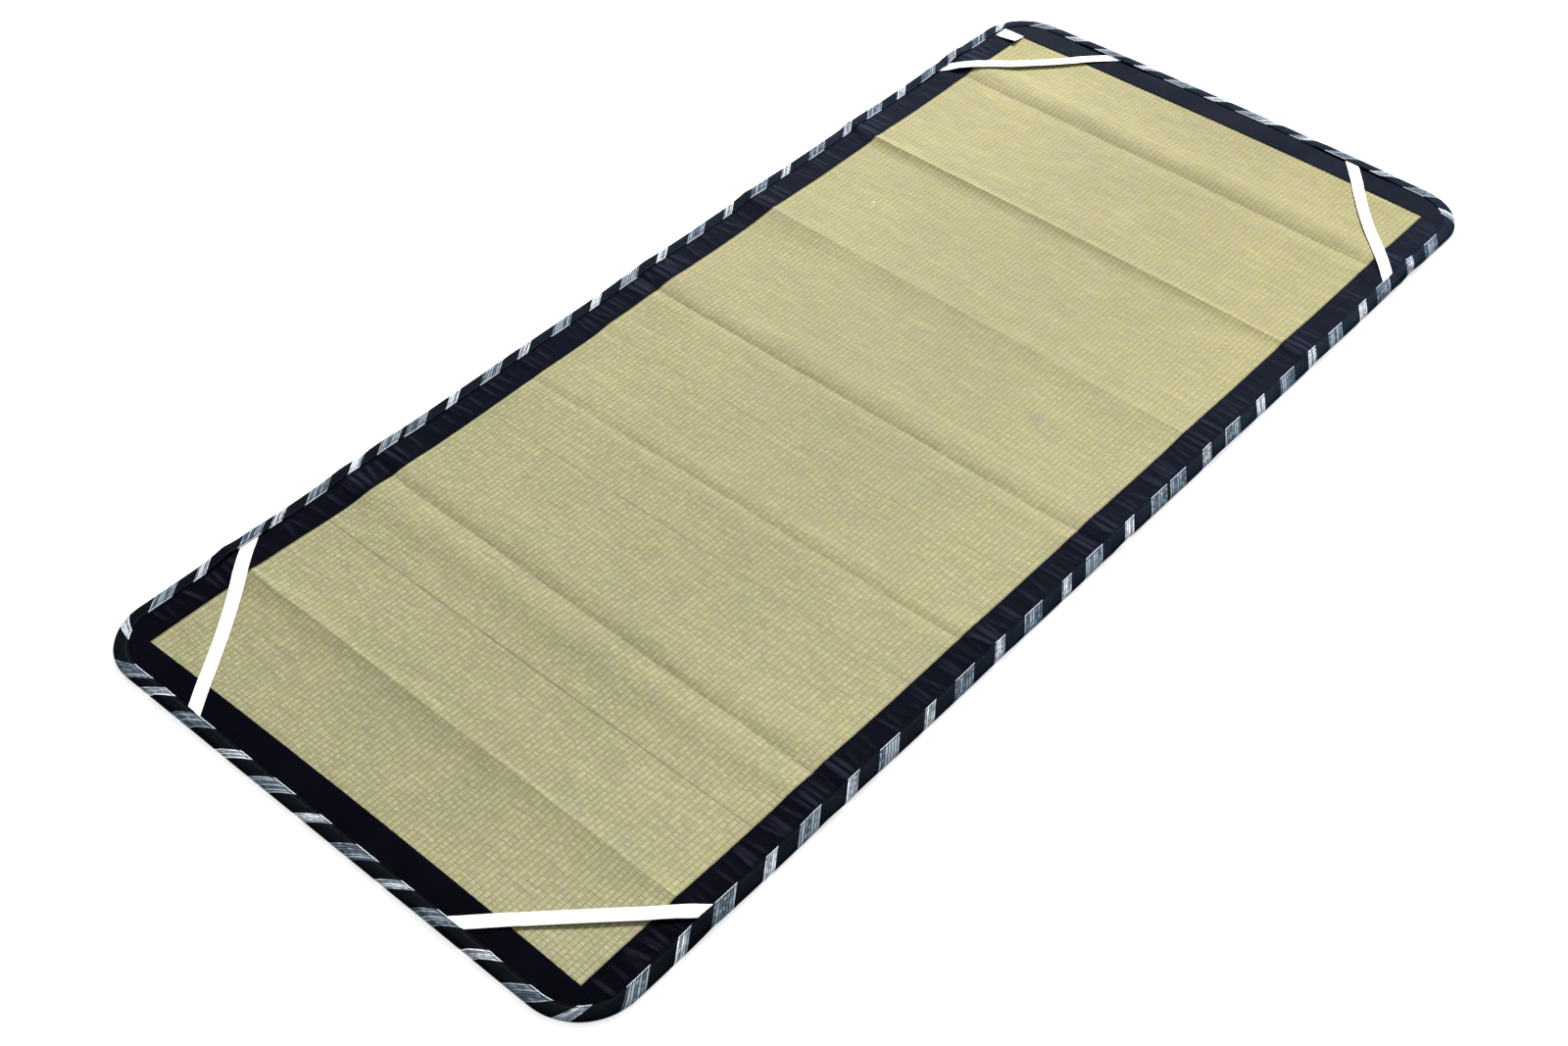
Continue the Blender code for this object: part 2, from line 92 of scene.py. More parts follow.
# Lines across the mat where its surface turns up or down, in millimetres. left and right are measured from
# the near end along those edges, the heights under the mat at its left, middle and right. before and after
# are the slopes beside the line as multiples of the flank's mean slope: 0 makes the line round.
FoldLine = namedtuple("FoldLine", "left right left_z middle_z right_z before after")
FOLD_LINES = (
    FoldLine(0, 0, 0.0, 0.0, 0.0, 0, 0),
    FoldLine(169, 161, 0.0, 0.0, 0.0, 0, 0),
    FoldLine(220, 211.5, 5.8, 4.2, 3.5, 2, 2),
    FoldLine(253, 235, 2.4, 2.4, 1.6, 0, 0),
    FoldLine(325, 315, 0.0, 0.0, 0.0, 0, 0),
    FoldLine(385, 380, 0.0, 0.0, 0.0, 0, 0),
    FoldLine(425, 413, 3.2, 2.8, 2.4, 0, 0),
    FoldLine(465.5, 452, 0.3, 0.2, 0.2, 1.4, 2.6),
    FoldLine(495, 480, 2.8, 2.8, 2.4, 0, 0),
    FoldLine(550, 540, 0.5, 0.5, 0.5, 0, 0),
    FoldLine(600, 595, 0.0, 0.0, 0.0, 0, 0),
    FoldLine(690, 698, 0.0, 0.0, 0.0, 0, 0),
    FoldLine(718, 726, 0.4, 0.8, 0.8, 0, 0),
    FoldLine(735, 743.5, 0.0, 0.0, 0.0, 1.5, 2.4),
    FoldLine(757, 765, 0.9, 1.6, 1.6, 0, 0),
    FoldLine(779, 788, 0.3, 0.5, 0.5, 0, 0),
    FoldLine(840, 845, 0.0, 0.0, 0.0, 0, 0),
    FoldLine(950, 952, 0.0, 0.0, 0.0, 0, 0),
    FoldLine(983, 979, 1.4, 0.8, 1.3, 0, 0),
    FoldLine(1002, 1001.5, 0.1, 0.1, 0.1, 2, 2.6),
    FoldLine(1036, 1034, 3.4, 3.2, 2.4, 0, 0),
    FoldLine(1068, 1064, 1.4, 1.2, 0.8, 0, 0),
    FoldLine(1140, 1140, 0.0, 0.0, 0.0, 0, 0),
    FoldLine(1205, 1203, 0.0, 0.0, 0.0, 0, 0),
    FoldLine(1270, 1259, 5.2, 3.2, 3.2, 2, 2),
    FoldLine(1308, 1292, 2.4, 1.8, 1.6, 0, 0),
    FoldLine(1385, 1378, 0.0, 0.0, 0.0, 0, 0),
    FoldLine(1497, 1495, 0.0, 0.0, 0.0, 0, 0),
    FoldLine(1528, 1523, 6.0, 4.4, 3.7, 2.2, 2),
    FoldLine(1544, 1536, 2.9, 2.4, 1.9, 0, 0),
    FoldLine(1630, 1622, 0.0, 0.0, 0.0, 0, 0),
    FoldLine(1715, 1712, 0.0, 0.0, 0.0, 0, 0),
    FoldLine(1742, 1747, 1.4, 0.8, 1.7, 0, 0),
    FoldLine(1772, 1768, 0.2, 0.1, 0.0, 1.6, 1.8),
    FoldLine(1810, 1801, 4.8, 5.6, 3.8, 0, 0),
    FoldLine(1848, 1842, 1.0, 0.8, 0.6, 0, 0),
    FoldLine(1905, 1905, 0.0, 0.0, 0.0, 0, 0),
    FoldLine(2000, 2000, 0.0, 0.0, 0.0, 0, 0),
)
FOLDS = np.array([line[:5] for line in FOLD_LINES]) * MM
STEEP = np.array([line[5:] for line in FOLD_LINES], float)
# Slow swells over the whole mat: height, waves per metre across and along, and phase
SWELLS = ((0.14, 2.3, 3.1, 0.4), (0.10, -4.1, 5.3, 2.1), (0.07, 6.7, 8.9, 4.0), (0.05, -9.3, 15.1, 1.2))

# Puckers of the long border strips
PUCKER_SEED = 4
PUCKER_SPACING = (6 * MM, 19 * MM)
PUCKER_HEIGHT = (0.15 * MM, 0.75 * MM)
PUCKER_WIDTH = (1.9 * MM, 3.8 * MM)
PUCKER_SLANT = 0.12
PUCKER_STEEP = 0.35  # slope at which a pucker's flank is fully lit or shaded
WRINKLE_DEPTH = 1.1 * MM  # where a crease crosses the strip
WRINKLE_WIDTH = 3.0 * MM
CALM_END = 70 * MM
PUCKER_PROFILE = ((3.8, 0.0), (18.0, 0.25), (27.0, 1.0), (48.0, 0.85), (59.0, 0.35))  # inset mm, share
STRIP_ROW = 3.4 * MM
STRIP_INSETS = (0.0, 0.12, 0.24, 0.30, 0.37, 0.45, 0.53, 0.61, 0.70, 0.79, 0.87, 0.935, 0.98, 1.0)
TURNED_EDGE = 0.35 * MM  # how far a strip's turned inner edge rounds down

# Binding
BINDING_STEP = 4.6 * MM
BAR_SLANT = 1.4  # how far a bar runs along the edge for each millimetre across the strip
WIDE_BAR = 38 * MM
LIGHT_BAR = 22 * MM
# Middles of the bars at the inner fold, in millimetres round the edge, counter-clockwise from the near left
WIDE_BARS = (
    12, 136, 287, 436, 576, 726, 878, 1024, 1174, 1324, 1474, 1620, 1756, 1910, 1956, 2094, 2240, 2374, 2514,
    2660, 2834, 2979, 3149, 3289, 3429, 3568, 3724, 3868, 4014, 4164, 4308, 4458, 4608, 4754, 4898, 5044,
    5094, 5224, 5338, 5486,
)
LIGHT_BARS = (
    66, 215, 362, 506, 651, 792, 954, 1104, 1254, 1404, 1548, 1694, 1838, 2028, 2168, 2308, 2454, 2594, 2761,
    2904, 3054, 3119, 3219, 3359, 3499, 3663, 3802, 3942, 4086, 4242, 4382, 4536, 4682, 4832, 4974, 5156,
    5294, 5422, 5559,
)
STITCH_INSET = 16 * MM
STITCH_PITCH = 3.2 * MM
STITCH_LENGTH = 2.3 * MM
STITCH_THICKNESS = 0.5 * MM

# Straps
STRAP_WIDTH = 18.5 * MM
STRAP_TUCK = 10 * MM
STRAP_LIFTOFF = 30 * MM
STRAP_TAUT = 0.45  # share of the way up from the mat to a line pulled tight
STRAP_COLUMNS = 8
STRAP_STEPS = 56
FLAP_RAISED = 55 * MM
FLAP_EASE = 25 * MM
Strap = namedtuple("Strap", "name side end along across bow swing tilt")
STRAPS = (
    Strap("strap_near_left", -1, -1, 250.5 * MM, -250 * MM, 0.6 * MM, 3.5 * MM, 0.3 * MM),
    Strap("strap_near_right", 1, -1, 219.5 * MM, 221 * MM, 0.5 * MM, 1.5 * MM, 0.4 * MM),
    Strap("strap_far_left", -1, 1, 1765.5 * MM, -228.5 * MM, 0.5 * MM, 2.5 * MM, 0.8 * MM),
    Strap("strap_far_right", 1, 1, 1759.5 * MM, 234 * MM, 0.6 * MM, 5.5 * MM, 0.4 * MM),
)

# Label
LABEL_WIDTH = 38 * MM
LABEL_HEIGHT = 27 * MM
LABEL_CURL = 4.5 * MM
LABEL_OVER_RUSH = 3 * MM

# The binding's section in millimetres: inset and height of its outer skin from the inner fold round to the
# underside, then of its inner skin back. The dip near the start is the topstitched groove.
OUTER_SKIN = (
    (18.8, 5.45), (19.2, 5.8), (18.9, 6.25), (18.0, 6.5), (17.0, 6.4), (16.4, 6.05), (16.0, 5.9), (15.6, 6.05),
    (15.0, 6.4), (13.4, 6.65), (11.0, 6.7), (8.0, 6.6), (5.5, 6.35), (3.2, 5.85), (1.6, 5.2), (0.5, 4.3),
    (0.0, 3.2), (0.0, 2.2), (0.5, 1.1), (1.4, 0.35), (2.6, 0.0), (8.0, 0.0), (19.0, 0.0),
)
INNER_SKIN = ((19.0, 1.0), (8.0, 1.0), (2.9, 1.0), (1.6, 1.7), (1.2, 3.0), (1.6, 4.3), (3.4, 5.3), (9.0, 5.3))
FLAP_STARTS = 3.0 * MM


def ease(t):
    """A smooth step from 0 to 1."""
    t = np.clip(t, 0.0, 1.0)
    return t * t * (3 - 2 * t)


def swell(u, v):
    """Low unevenness of a mat that doesn't lie quite flat, never below the floor."""
    total = 0.0
    for height, across, along, phase in SWELLS:
        total = total + height * MM * (1 + np.sin(2 * math.pi * (across * u + along * v) + phase))
    return total


def lift(u, v):
    """Height of the mat's underside over the floor at points of its flat pattern."""
    u, v = np.broadcast_arrays(np.asarray(u, float), np.asarray(v, float))
    share = (0.5 + u / WIDTH).ravel()
    distance = (v + LENGTH / 2).ravel()
    places = FOLDS[:, :1] + (FOLDS[:, 1:2] - FOLDS[:, :1]) * share
    segment = np.clip((places <= distance).sum(0) - 1, 0, len(FOLDS) - 2)
    points = np.arange(len(share))
    start, stop = places[segment, points], places[segment + 1, points]
    weights = np.stack([2 * (share - 0.5) * (share - 1), 4 * share * (1 - share), 2 * share * (share - 0.5)])
    low = (FOLDS[segment, 2:] * weights.T).sum(1)
    high = (FOLDS[segment + 1, 2:] * weights.T).sum(1)
    t = np.clip((distance - start) / (stop - start), 0.0, 1.0)
    first, last = STEEP[segment, 1], STEEP[segment + 1, 0]
    climb = (t**3 - 2 * t**2 + t) * first + (t**3 - t**2) * last + t * t * (3 - 2 * t)
    height = np.maximum(0.0, low + (high - low) * climb)
    return height.reshape(u.shape) + swell(u, v)


def lay(u, v, height):
    """Points of the flat pattern, at a height over the mat's underside, on the slightly crooked mat."""
    along = 0.5 + v / LENGTH
    from_right = 0.5 - u / WIDTH
    x = u + LEFT_SPREAD * (0.5 - ease(along) * from_right)
    y = v - FAR_BOW * along**3 * ((u - FAR_PEAK) / (WIDTH / 2)) ** 2
    return np.stack(np.broadcast_arrays(x, y, height + lift(u, v)), -1)


def edge_distance(u, v):
    """How far points of the flat pattern lie inside the mat's rounded outline."""
    over_u = np.abs(u) - (WIDTH / 2 - CORNER_RADIUS)
    over_v = np.abs(v) - (LENGTH / 2 - CORNER_RADIUS)
    round_corner = CORNER_RADIUS - np.hypot(np.maximum(over_u, 0), np.maximum(over_v, 0))
    straight = CORNER_RADIUS - np.maximum(over_u, over_v)
    return np.where((over_u > 0) & (over_v > 0), round_corner, straight)


def half_width(v, inset):
    """Half the mat's width at v, inside its rounded outline by the inset."""
    past = np.maximum(np.abs(v) - (LENGTH / 2 - CORNER_RADIUS), 0.0)
    radius = CORNER_RADIUS - inset
    return WIDTH / 2 - inset - radius + np.sqrt(np.maximum(radius**2 - past**2, 0.0))


def rush_bottom(u, v):
    """Underside of the rush: on the binding at the margin, on the floor inside it."""
    return RUSH_BOTTOM * (1 - ease((edge_distance(u, v) - SIDE_MARGIN) / SINK_RUN))


def add_mesh(name, points, faces, uv_maps, material):
    """A piece from points and faces. Each map of uv_maps holds one pair of numbers for every face corner."""
    mesh = bpy.data.meshes.new(name)
    mesh.from_pydata(np.asarray(points).tolist(), [], faces)
    for map_name, pairs in uv_maps.items():
        layer = mesh.uv_layers.new(name=map_name)
        layer.data.foreach_set("uv", np.asarray(pairs, dtype=np.float32).ravel())
    mesh.materials.append(material)
    shell = bmesh.new()
    shell.from_mesh(mesh)
    bmesh.ops.recalc_face_normals(shell, faces=shell.faces[:])
    shell.to_mesh(mesh)
    shell.free()
    mesh.shade_smooth()
    mesh.set_sharp_from_angle(angle=math.radians(50))
    piece = bpy.data.objects.new(name, mesh)
    bpy.context.collection.objects.link(piece)
    return piece


def set_map(piece, name, first, second):
    """Writes one map of a piece, new or old, from a pair of numbers for each point."""
    layers = piece.data.uv_layers
    layer = layers[name] if name in layers else layers.new(name=name)
    corners = np.zeros(len(piece.data.loops), dtype=np.int32)
    piece.data.loops.foreach_get("vertex_index", corners)
    pairs = np.stack([first[corners], second[corners]], 1).astype(np.float32)
    layer.data.foreach_set("uv", pairs.ravel())


def seated(piece, node):
    """Rides a finished piece on the mat in place of the solid that it stands for."""
    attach(piece, "root")
    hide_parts(node)
    return piece


def grid_faces(rows, columns, first=0, flip=False):
    """Quads over a grid of points that are numbered row by row."""
    row, column = np.meshgrid(np.arange(rows - 1), np.arange(columns - 1), indexing="ij")
    a = (first + row * columns + column).ravel()
    corners = [a, a + 1, a + columns + 1, a + columns]
    return np.stack(corners[::-1] if flip else corners, 1).tolist()


def add_sheet(name, u, v, top, bottom, material, column_stride=1, row_stride=1):
    """A closed sheet over grids of flat pattern points with their upper and lower heights over the mat's
    underside. The underside may take only every few rows and columns."""
    upper = lay(u, v, top)
    few = (slice(None, None, row_stride), slice(None, None, column_stride))
    lower = lay(u[few], v[few], bottom[few])
    rows, columns = u.shape
    low_rows, low_columns = lower.shape[:2]
    first = rows * columns
    faces = grid_faces(rows, columns) + grid_faces(low_rows, low_columns, first, flip=True)

    def wall(upper_line, lower_line, stride):
        for step in range(len(lower_line) - 1):
            run = upper_line[step * stride : (step + 1) * stride + 1]
            faces.append([int(i) for i in run[::-1]] + [int(lower_line[step]), int(lower_line[step + 1])])

    above = np.arange(first).reshape(rows, columns)
    below = first + np.arange(low_rows * low_columns).reshape(low_rows, low_columns)
    wall(above[0], below[0], column_stride)
    wall(above[-1][::-1], below[-1][::-1], column_stride)
    wall(above[:, 0][::-1], below[:, 0][::-1], row_stride)
    wall(above[:, -1], below[:, -1], row_stride)
    points = np.concatenate([upper.reshape(-1, 3), lower.reshape(-1, 3)])
    flat = np.concatenate([np.stack([u, v], -1).reshape(-1, 2), np.stack([u[few], v[few]], -1).reshape(-1, 2)])
    corners = np.concatenate([np.asarray(face) for face in faces])
    return add_mesh(name, points, faces, {"pattern": flat[corners]}, material)


def panel_rows():
    """Distances of the panel's rows from the near end on its left and right, close together at each sharp
    fold, which always has a row of its own."""
    middles = FOLDS[:, :2].mean(1)
    sharp = middles[STEEP.max(1) > 0]
    turns = [NEAR_MARGIN - RIB_FADE, *sharp, LENGTH - FAR_MARGIN + RIB_FADE]
    stops = [EDGE_INSET, 0.35 * NEAR_MARGIN]
    for start, stop in zip(turns, turns[1:]):
        steps = [0.0]
        while steps[-1] < (stop - start) / 2:
            steps.append(steps[-1] + min(FINE_ROW + steps[-1] * ROW_SPREAD, COARSE_ROW))
        away = np.array(steps) * (stop - start) / 2 / steps[-1]
        stops += [*(start + away), *(stop - away[-2:0:-1])]
    stops += [turns[-1], LENGTH - 0.35 * FAR_MARGIN, LENGTH - EDGE_INSET]
    if len(stops) % UNDERSIDE_ROWS == 0:
        stops.insert(2, 0.7 * NEAR_MARGIN)
    middle = np.array(stops)
    left = np.interp(middle, middles, FOLDS[:, 0])
    right = np.interp(middle, middles, FOLDS[:, 1])
    return left, right


def make_rush_panel(material):
    """The woven panel: one sheet with a raised rib over every pair of warps."""
    rng = np.random.default_rng(11)
    quarter = RIB_PITCH / SAMPLES_PER_RIB
    count = RIBS_EACH_SIDE * SAMPLES_PER_RIB
    ribbed = np.arange(-count, count + 1) * quarter
    edge = WIDTH / 2 - EDGE_INSET
    margin = ribbed[-1] + (edge - ribbed[-1]) * np.array([0.3, 0.65, 1.0])
    across = np.concatenate([-margin[::-1], ribbed, margin])
    left, right = panel_rows()
    share = 0.5 + across / WIDTH
    v = left[:, None] + (right - left)[:, None] * share - LENGTH / 2
    reach = half_width(v, EDGE_INSET)
    inner = np.minimum(ribbed[-1], reach - 8 * MM)
    base = np.broadcast_to(across, v.shape)
    beyond = (np.abs(base) - ribbed[-1]) / (edge - ribbed[-1])
    u = np.sign(base) * np.where(
        beyond <= 0, np.abs(base) * inner / ribbed[-1], inner + (reach - inner) * np.maximum(beyond, 0)
    )
    shown = ease((WIDTH / 2 - SIDE_MARGIN + RIB_FADE - np.abs(u)) / RIB_FADE)
    shown = shown * ease((LENGTH / 2 - NEAR_MARGIN + RIB_FADE + v) / RIB_FADE)
    shown = shown * ease((LENGTH / 2 - FAR_MARGIN + RIB_FADE - v) / RIB_FADE)
    relief = RIB_RELIEF * (0.5 * np.cos(2 * math.pi * u / RIB_PITCH) - 0.35)
    relief = relief + RIB_UNEVEN * rng.uniform(-1, 1, u.shape)
    bottom = rush_bottom(u, v)
    top = bottom + RUSH_THICKNESS + relief * shown
    panel = add_sheet("rush_weave", u, v, top, bottom, material, UNDERSIDE_COLUMNS, UNDERSIDE_ROWS)
    seated(panel, "rush_panel")
    return panel


def end_seam(end, u):
    """Distance of an end border's seam from that end of the mat."""
    if end > 0:
        return np.full_like(u, FAR_MARGIN)
    return NEAR_MARGIN + NEAR_SEAM_BOW * np.maximum(0.0, 1 - (u / SEAM_U) ** 2)


def edge_rounding(share):
    """How far a strip's inner, turned edge rounds down at a share of the strip's width."""
    return TURNED_EDGE * np.clip((share - 0.96) / 0.04, 0, 1) ** 2


def make_end_border(name, node, end, material):
    """The smooth strip of cloth across the near or the far end, from binding to binding."""
    share, across = np.meshgrid(np.array(STRIP_INSETS), np.linspace(-1, 1, 181), indexing="ij")
    inner = end_seam(end, across * WIDTH / 2) - GAP / 2
    distance = EDGE_INSET + (inner - EDGE_INSET) * share
    v = end * (LENGTH / 2 - distance)
    u = across * half_width(v, EDGE_INSET)
    ripple = 0.10 * MM * np.sin(u / (21 * MM)) * np.sin(u / (57 * MM) + 1.3 * end) * ease((distance - 20 * MM) / (12 * MM))
    top = BORDER_TOP + ripple - edge_rounding(share)
    if end > 0:
        u, v, top = u[::-1], v[::-1], top[::-1]
    strip = add_sheet(name, u, v, top, np.full_like(top, BORDER_BOTTOM), material)
    seated(strip, node)
    return strip


def pucker_ridges(side):
    """Puckers along a side: place along, height, width and slant of each, and the wrinkles at the creases."""
    rng = np.random.default_rng(PUCKER_SEED + side)
    ridges = []
    place = -LENGTH / 2 + CALM_END
    while place < LENGTH / 2 - CALM_END:
        ridges.append((place, rng.uniform(*PUCKER_HEIGHT), rng.uniform(*PUCKER_WIDTH), rng.normal(0, PUCKER_SLANT)))
        place += rng.uniform(*PUCKER_SPACING)
    column = 0 if side < 0 else 1
    height = 2 if side < 0 else 4
    for fold in FOLDS:
        if fold[height] >= 1.0 * MM:
            middle = fold[column] - LENGTH / 2
            deep = WRINKLE_DEPTH * min(1.0, 0.45 + fold[height] / (7 * MM))
            for offset in (-5.5, 6.5):
                slant = rng.normal(0, PUCKER_SLANT / 2)
                ridges.append((middle + offset * MM, deep * rng.uniform(0.6, 1.0), WRINKLE_WIDTH, slant))
            ridges.append((middle + 0.5 * MM, -deep * 0.8, WRINKLE_WIDTH * 0.6, 0.0))
    return ridges


def puckers(side, inset, v):
    """Height that the puckers of a long strip add."""
    height = np.zeros_like(v)
    for place, rise, width, slant in pucker_ridges(side):
        offset = v - place - slant * (inset - 40 * MM)
        height += rise * np.exp(-((offset / width) ** 2))
    calm = np.ones_like(v)
    for strap in STRAPS:
        if strap.side == side:
            away = np.abs(v + LENGTH / 2 - strap.along)
            calm = np.minimum(calm, 0.35 + 0.65 * ease((away - 25 * MM) / (30 * MM)))
    share = np.interp(inset, *zip(*((inset_mm * MM, part) for inset_mm, part in PUCKER_PROFILE)))
    return np.clip(height, -0.8 * MM, 1.5 * MM) * share * calm


def make_side_border(name, node, side, material):
    """The strip of cloth along the left or the right edge, puckered where it was gathered in sewing."""
    first = NEAR_MARGIN + GAP / 2
    last = LENGTH - FAR_MARGIN - GAP / 2
    steps = round((last - first) / STRIP_ROW)
    along, share = np.meshgrid(np.linspace(first, last, steps + 1) - LENGTH / 2, np.array(STRIP_INSETS), indexing="ij")
    seam = np.full_like(along, SIDE_MARGIN)
    if side < 0:
        wide = ease((along + LENGTH / 2 - LEFT_WIDE_SPAN[0]) / (80 * MM)) * ease((LEFT_WIDE_SPAN[1] - along - LENGTH / 2) / (40 * MM))
        seam += LEFT_WIDENING * wide
    inset = EDGE_INSET + (seam - EDGE_INSET) * share
    height = puckers(side, inset, along)
    inset = inset + 0.5 * (height - 0.2 * MM) * (share > 0.9)
    u = side * np.minimum(WIDTH / 2 - inset, half_width(along, EDGE_INSET))
    top = BORDER_TOP + height - edge_rounding(share)
    bottom = BORDER_BOTTOM + np.maximum(height, 0.0)
    if side > 0:
        u, along, top, bottom = u[:, ::-1], along[:, ::-1], top[:, ::-1], bottom[:, ::-1]
    strip = add_sheet(name, u, along, top, np.minimum(bottom, top - 0.4 * MM), material)
    if side > 0:
        height = height[:, ::-1]
    # The pucker map paints light and shade: the first number marks the crests, for wear, and the flanks facing the
    # light, for painted highlight; the second marks the wrinkles and the flanks turned from the light, for painted
    # shade.
    slope = np.gradient(height, axis=0) / (STRIP_ROW * PUCKER_STEEP)
    crest = np.clip(height / PUCKER_HEIGHT[1] + np.maximum(-slope, 0.0), 0.0, 1.0)
    painted_pucker_shade = np.clip(-height / WRINKLE_DEPTH + np.maximum(slope, 0.0), 0.0, 1.0)
    set_map(strip, "pucker", np.tile(crest.ravel(), 2), np.tile(painted_pucker_shade.ravel(), 2))
    seated(strip, node)
    return strip


STRAIGHT_U = WIDTH / 2 - CORNER_RADIUS
STRAIGHT_V = LENGTH / 2 - CORNER_RADIUS
QUARTER_TURN = math.pi / 2 * CORNER_RADIUS
RIM = 4 * (STRAIGHT_U + STRAIGHT_V + QUARTER_TURN)


def rim_points(s, inset):
    """Flat pattern points at distances s round the edge, counter-clockwise from the near left, and insets."""
    runs = (2 * STRAIGHT_U, QUARTER_TURN, 2 * STRAIGHT_V, QUARTER_TURN) * 2
    starts = np.concatenate([[0.0], np.cumsum(runs)])
    s = np.mod(s, RIM)
    radius = CORNER_RADIUS - inset
    u, v = np.zeros_like(s), np.zeros_like(s)
    corners = ((STRAIGHT_U, -STRAIGHT_V), (STRAIGHT_U, STRAIGHT_V), (-STRAIGHT_U, STRAIGHT_V), (-STRAIGHT_U, -STRAIGHT_V))
    begins = ((-STRAIGHT_U, -STRAIGHT_V), *corners[:3])
    for index in range(8):
        here = (s >= starts[index]) & (s <= starts[index + 1])
        along = s - starts[index]
        facing = (index // 2 - 1) * math.pi / 2
        centre = begins[index // 2] if index % 2 == 0 else corners[index // 2]
        turn = facing + (along / CORNER_RADIUS if index % 2 else 0.0)
        run = 0.0 if index % 2 else along
        part_u = centre[0] + radius * np.cos(turn) - run * math.sin(facing)
        part_v = centre[1] + radius * np.sin(turn) + run * math.cos(facing)
        u, v = np.where(here, part_u, u), np.where(here, part_v, v)
    return u, v


def flap_lift(u, v):
    """How far the end of a strap under the binding raises its upper flap."""
    share = np.zeros_like(u)
    for strap in STRAPS:
        from_side = np.abs(u - strap.side * WIDTH / 2)
        from_end = np.abs(v - strap.end * LENGTH / 2)
        on_side = np.abs(v + LENGTH / 2 - strap.along)
        on_end = np.abs(u - strap.across)
        away = np.where(from_side < from_end, on_side, on_end)
        near = np.minimum(from_side, from_end) < BINDING_WIDTH * 2
        share = np.maximum(share, np.where(near, 1 - ease((away - FLAP_RAISED) / FLAP_EASE), 0.0))
    return share * (STRAP_THICKNESS + 2 * GAP)


def bar_stops():
    """Rings of the binding as (place, bar middle, kind): kind is 0 between bars, 1 in a wide one, 2 in a
    light one. Each bar's ends are rings of their own, so that its sides are clean."""
    bars = [(place * MM, WIDE_BAR / 2, 1) for place in WIDE_BARS]
    bars += [(place * MM, LIGHT_BAR / 2, 2) for place in LIGHT_BARS]
    bars.sort()
    spans = []
    for (middle, half, kind), (after, after_half, _) in zip(bars, bars[1:] + [(bars[0][0] + RIM, bars[0][1], 0)]):
        spans.append((middle - half, middle + half, middle, kind))
        spans.append((middle + half, after - after_half, middle, 0))
    return spans


def make_binding(material):
    """The bias strip folded round the whole edge, with slanted bars woven into it."""
    section = np.array(OUTER_SKIN + INNER_SKIN) * MM
    skin = section[: len(OUTER_SKIN)]
    runs = np.concatenate([[0.0], np.cumsum(np.hypot(*np.diff(skin, axis=0).T))])
    back = np.interp(section[len(OUTER_SKIN) :, 0], skin[::-1, 0][: 2], runs[::-1][:2])
    low_back = runs[-1] - (BINDING_WIDTH - section[len(OUTER_SKIN) :, 0])
    high_back = runs[0] + (BINDING_WIDTH - section[len(OUTER_SKIN) :, 0])
    back = np.where(section[len(OUTER_SKIN) :, 1] < 3.1 * MM, low_back, high_back)
    across = np.concatenate([runs, back])
    places, cells = [], []
    for start, stop, middle, kind in bar_stops():
        steps = max(1, round((stop - start) / BINDING_STEP))
        for step in range(steps):
            here = start + (stop - start) * step / steps
            there = start + (stop - start) * (step + 1) / steps
            places.append(here)
            cells.append((here - middle, there - middle, kind))
    s = np.array(places)[:, None] - BAR_SLANT * across[None, :]
    inset = np.broadcast_to(section[:, 0], s.shape)
    wander = 0.35 * MM * (np.sin(s / (31 * MM)) * np.sin(s / (83 * MM) + 1.1)) * (inset > 14 * MM)
    inset = inset + wander
    u, v = rim_points(s, inset)
    height = np.broadcast_to(section[:, 1], s.shape).copy()
    upper = (inset > FLAP_STARTS) & (height > BORDER_TOP)
    height += np.where(upper, flap_lift(u, v), 0.0)
    puff = 0.16 * MM * np.sin(s / (5.1 * MM) + 2 * np.sin(s / (37 * MM))) * np.exp(-(((inset - 9 * MM) / (5 * MM)) ** 2))
    height += np.where(height > 5.7 * MM, puff, 0.0)
    points = lay(u, v, height)
    rings, sides = s.shape
    faces, strip_uv, bar_uv = [], [], []
    for ring in range(rings):
        after = (ring + 1) % rings
        here, there, kind = cells[ring]
        for side in range(sides):
            other = (side + 1) % sides
            faces.append((ring * sides + side, ring * sides + other, after * sides + other, after * sides + side))
            near_w, far_w = across[side], across[other]
            start = places[ring]
            stop = start + there - here
            strip_uv += [(start, near_w), (start, far_w), (stop, far_w), (stop, near_w)]
            bar_uv += [(here, kind), (here, kind), (there, kind), (there, kind)]
    uv_maps = {"pattern": strip_uv, "bar": bar_uv}
    strip = add_mesh("binding_strip", points.reshape(-1, 3), faces, uv_maps, material)
    seated(strip, "binding")
    return strip


def under_strap(u, v):
    """Height over the floor of what a strap lies on: puckered border at the margin, rush inside."""
    from_side = WIDTH / 2 - np.abs(u)
    on_border = (LENGTH / 2 - np.abs(v) < FAR_MARGIN) | (from_side < SIDE_MARGIN + GAP)
    rush = rush_bottom(u, v) + RUSH_THICKNESS
    return lift(u, v) + np.where(on_border, BORDER_TOP + 0.25 * MM, rush)


def taut_line(shares, heights):
    """Heights of a cord pulled tight over those points."""
    line = heights.copy()
    for start in range(len(shares)):
        for stop in range(start + 2, len(shares)):
            inside = slice(start + 1, stop)
            t = (shares[inside] - shares[start]) / (shares[stop] - shares[start])
            line[inside] = np.maximum(line[inside], heights[start] + (heights[stop] - heights[start]) * t)
    return line


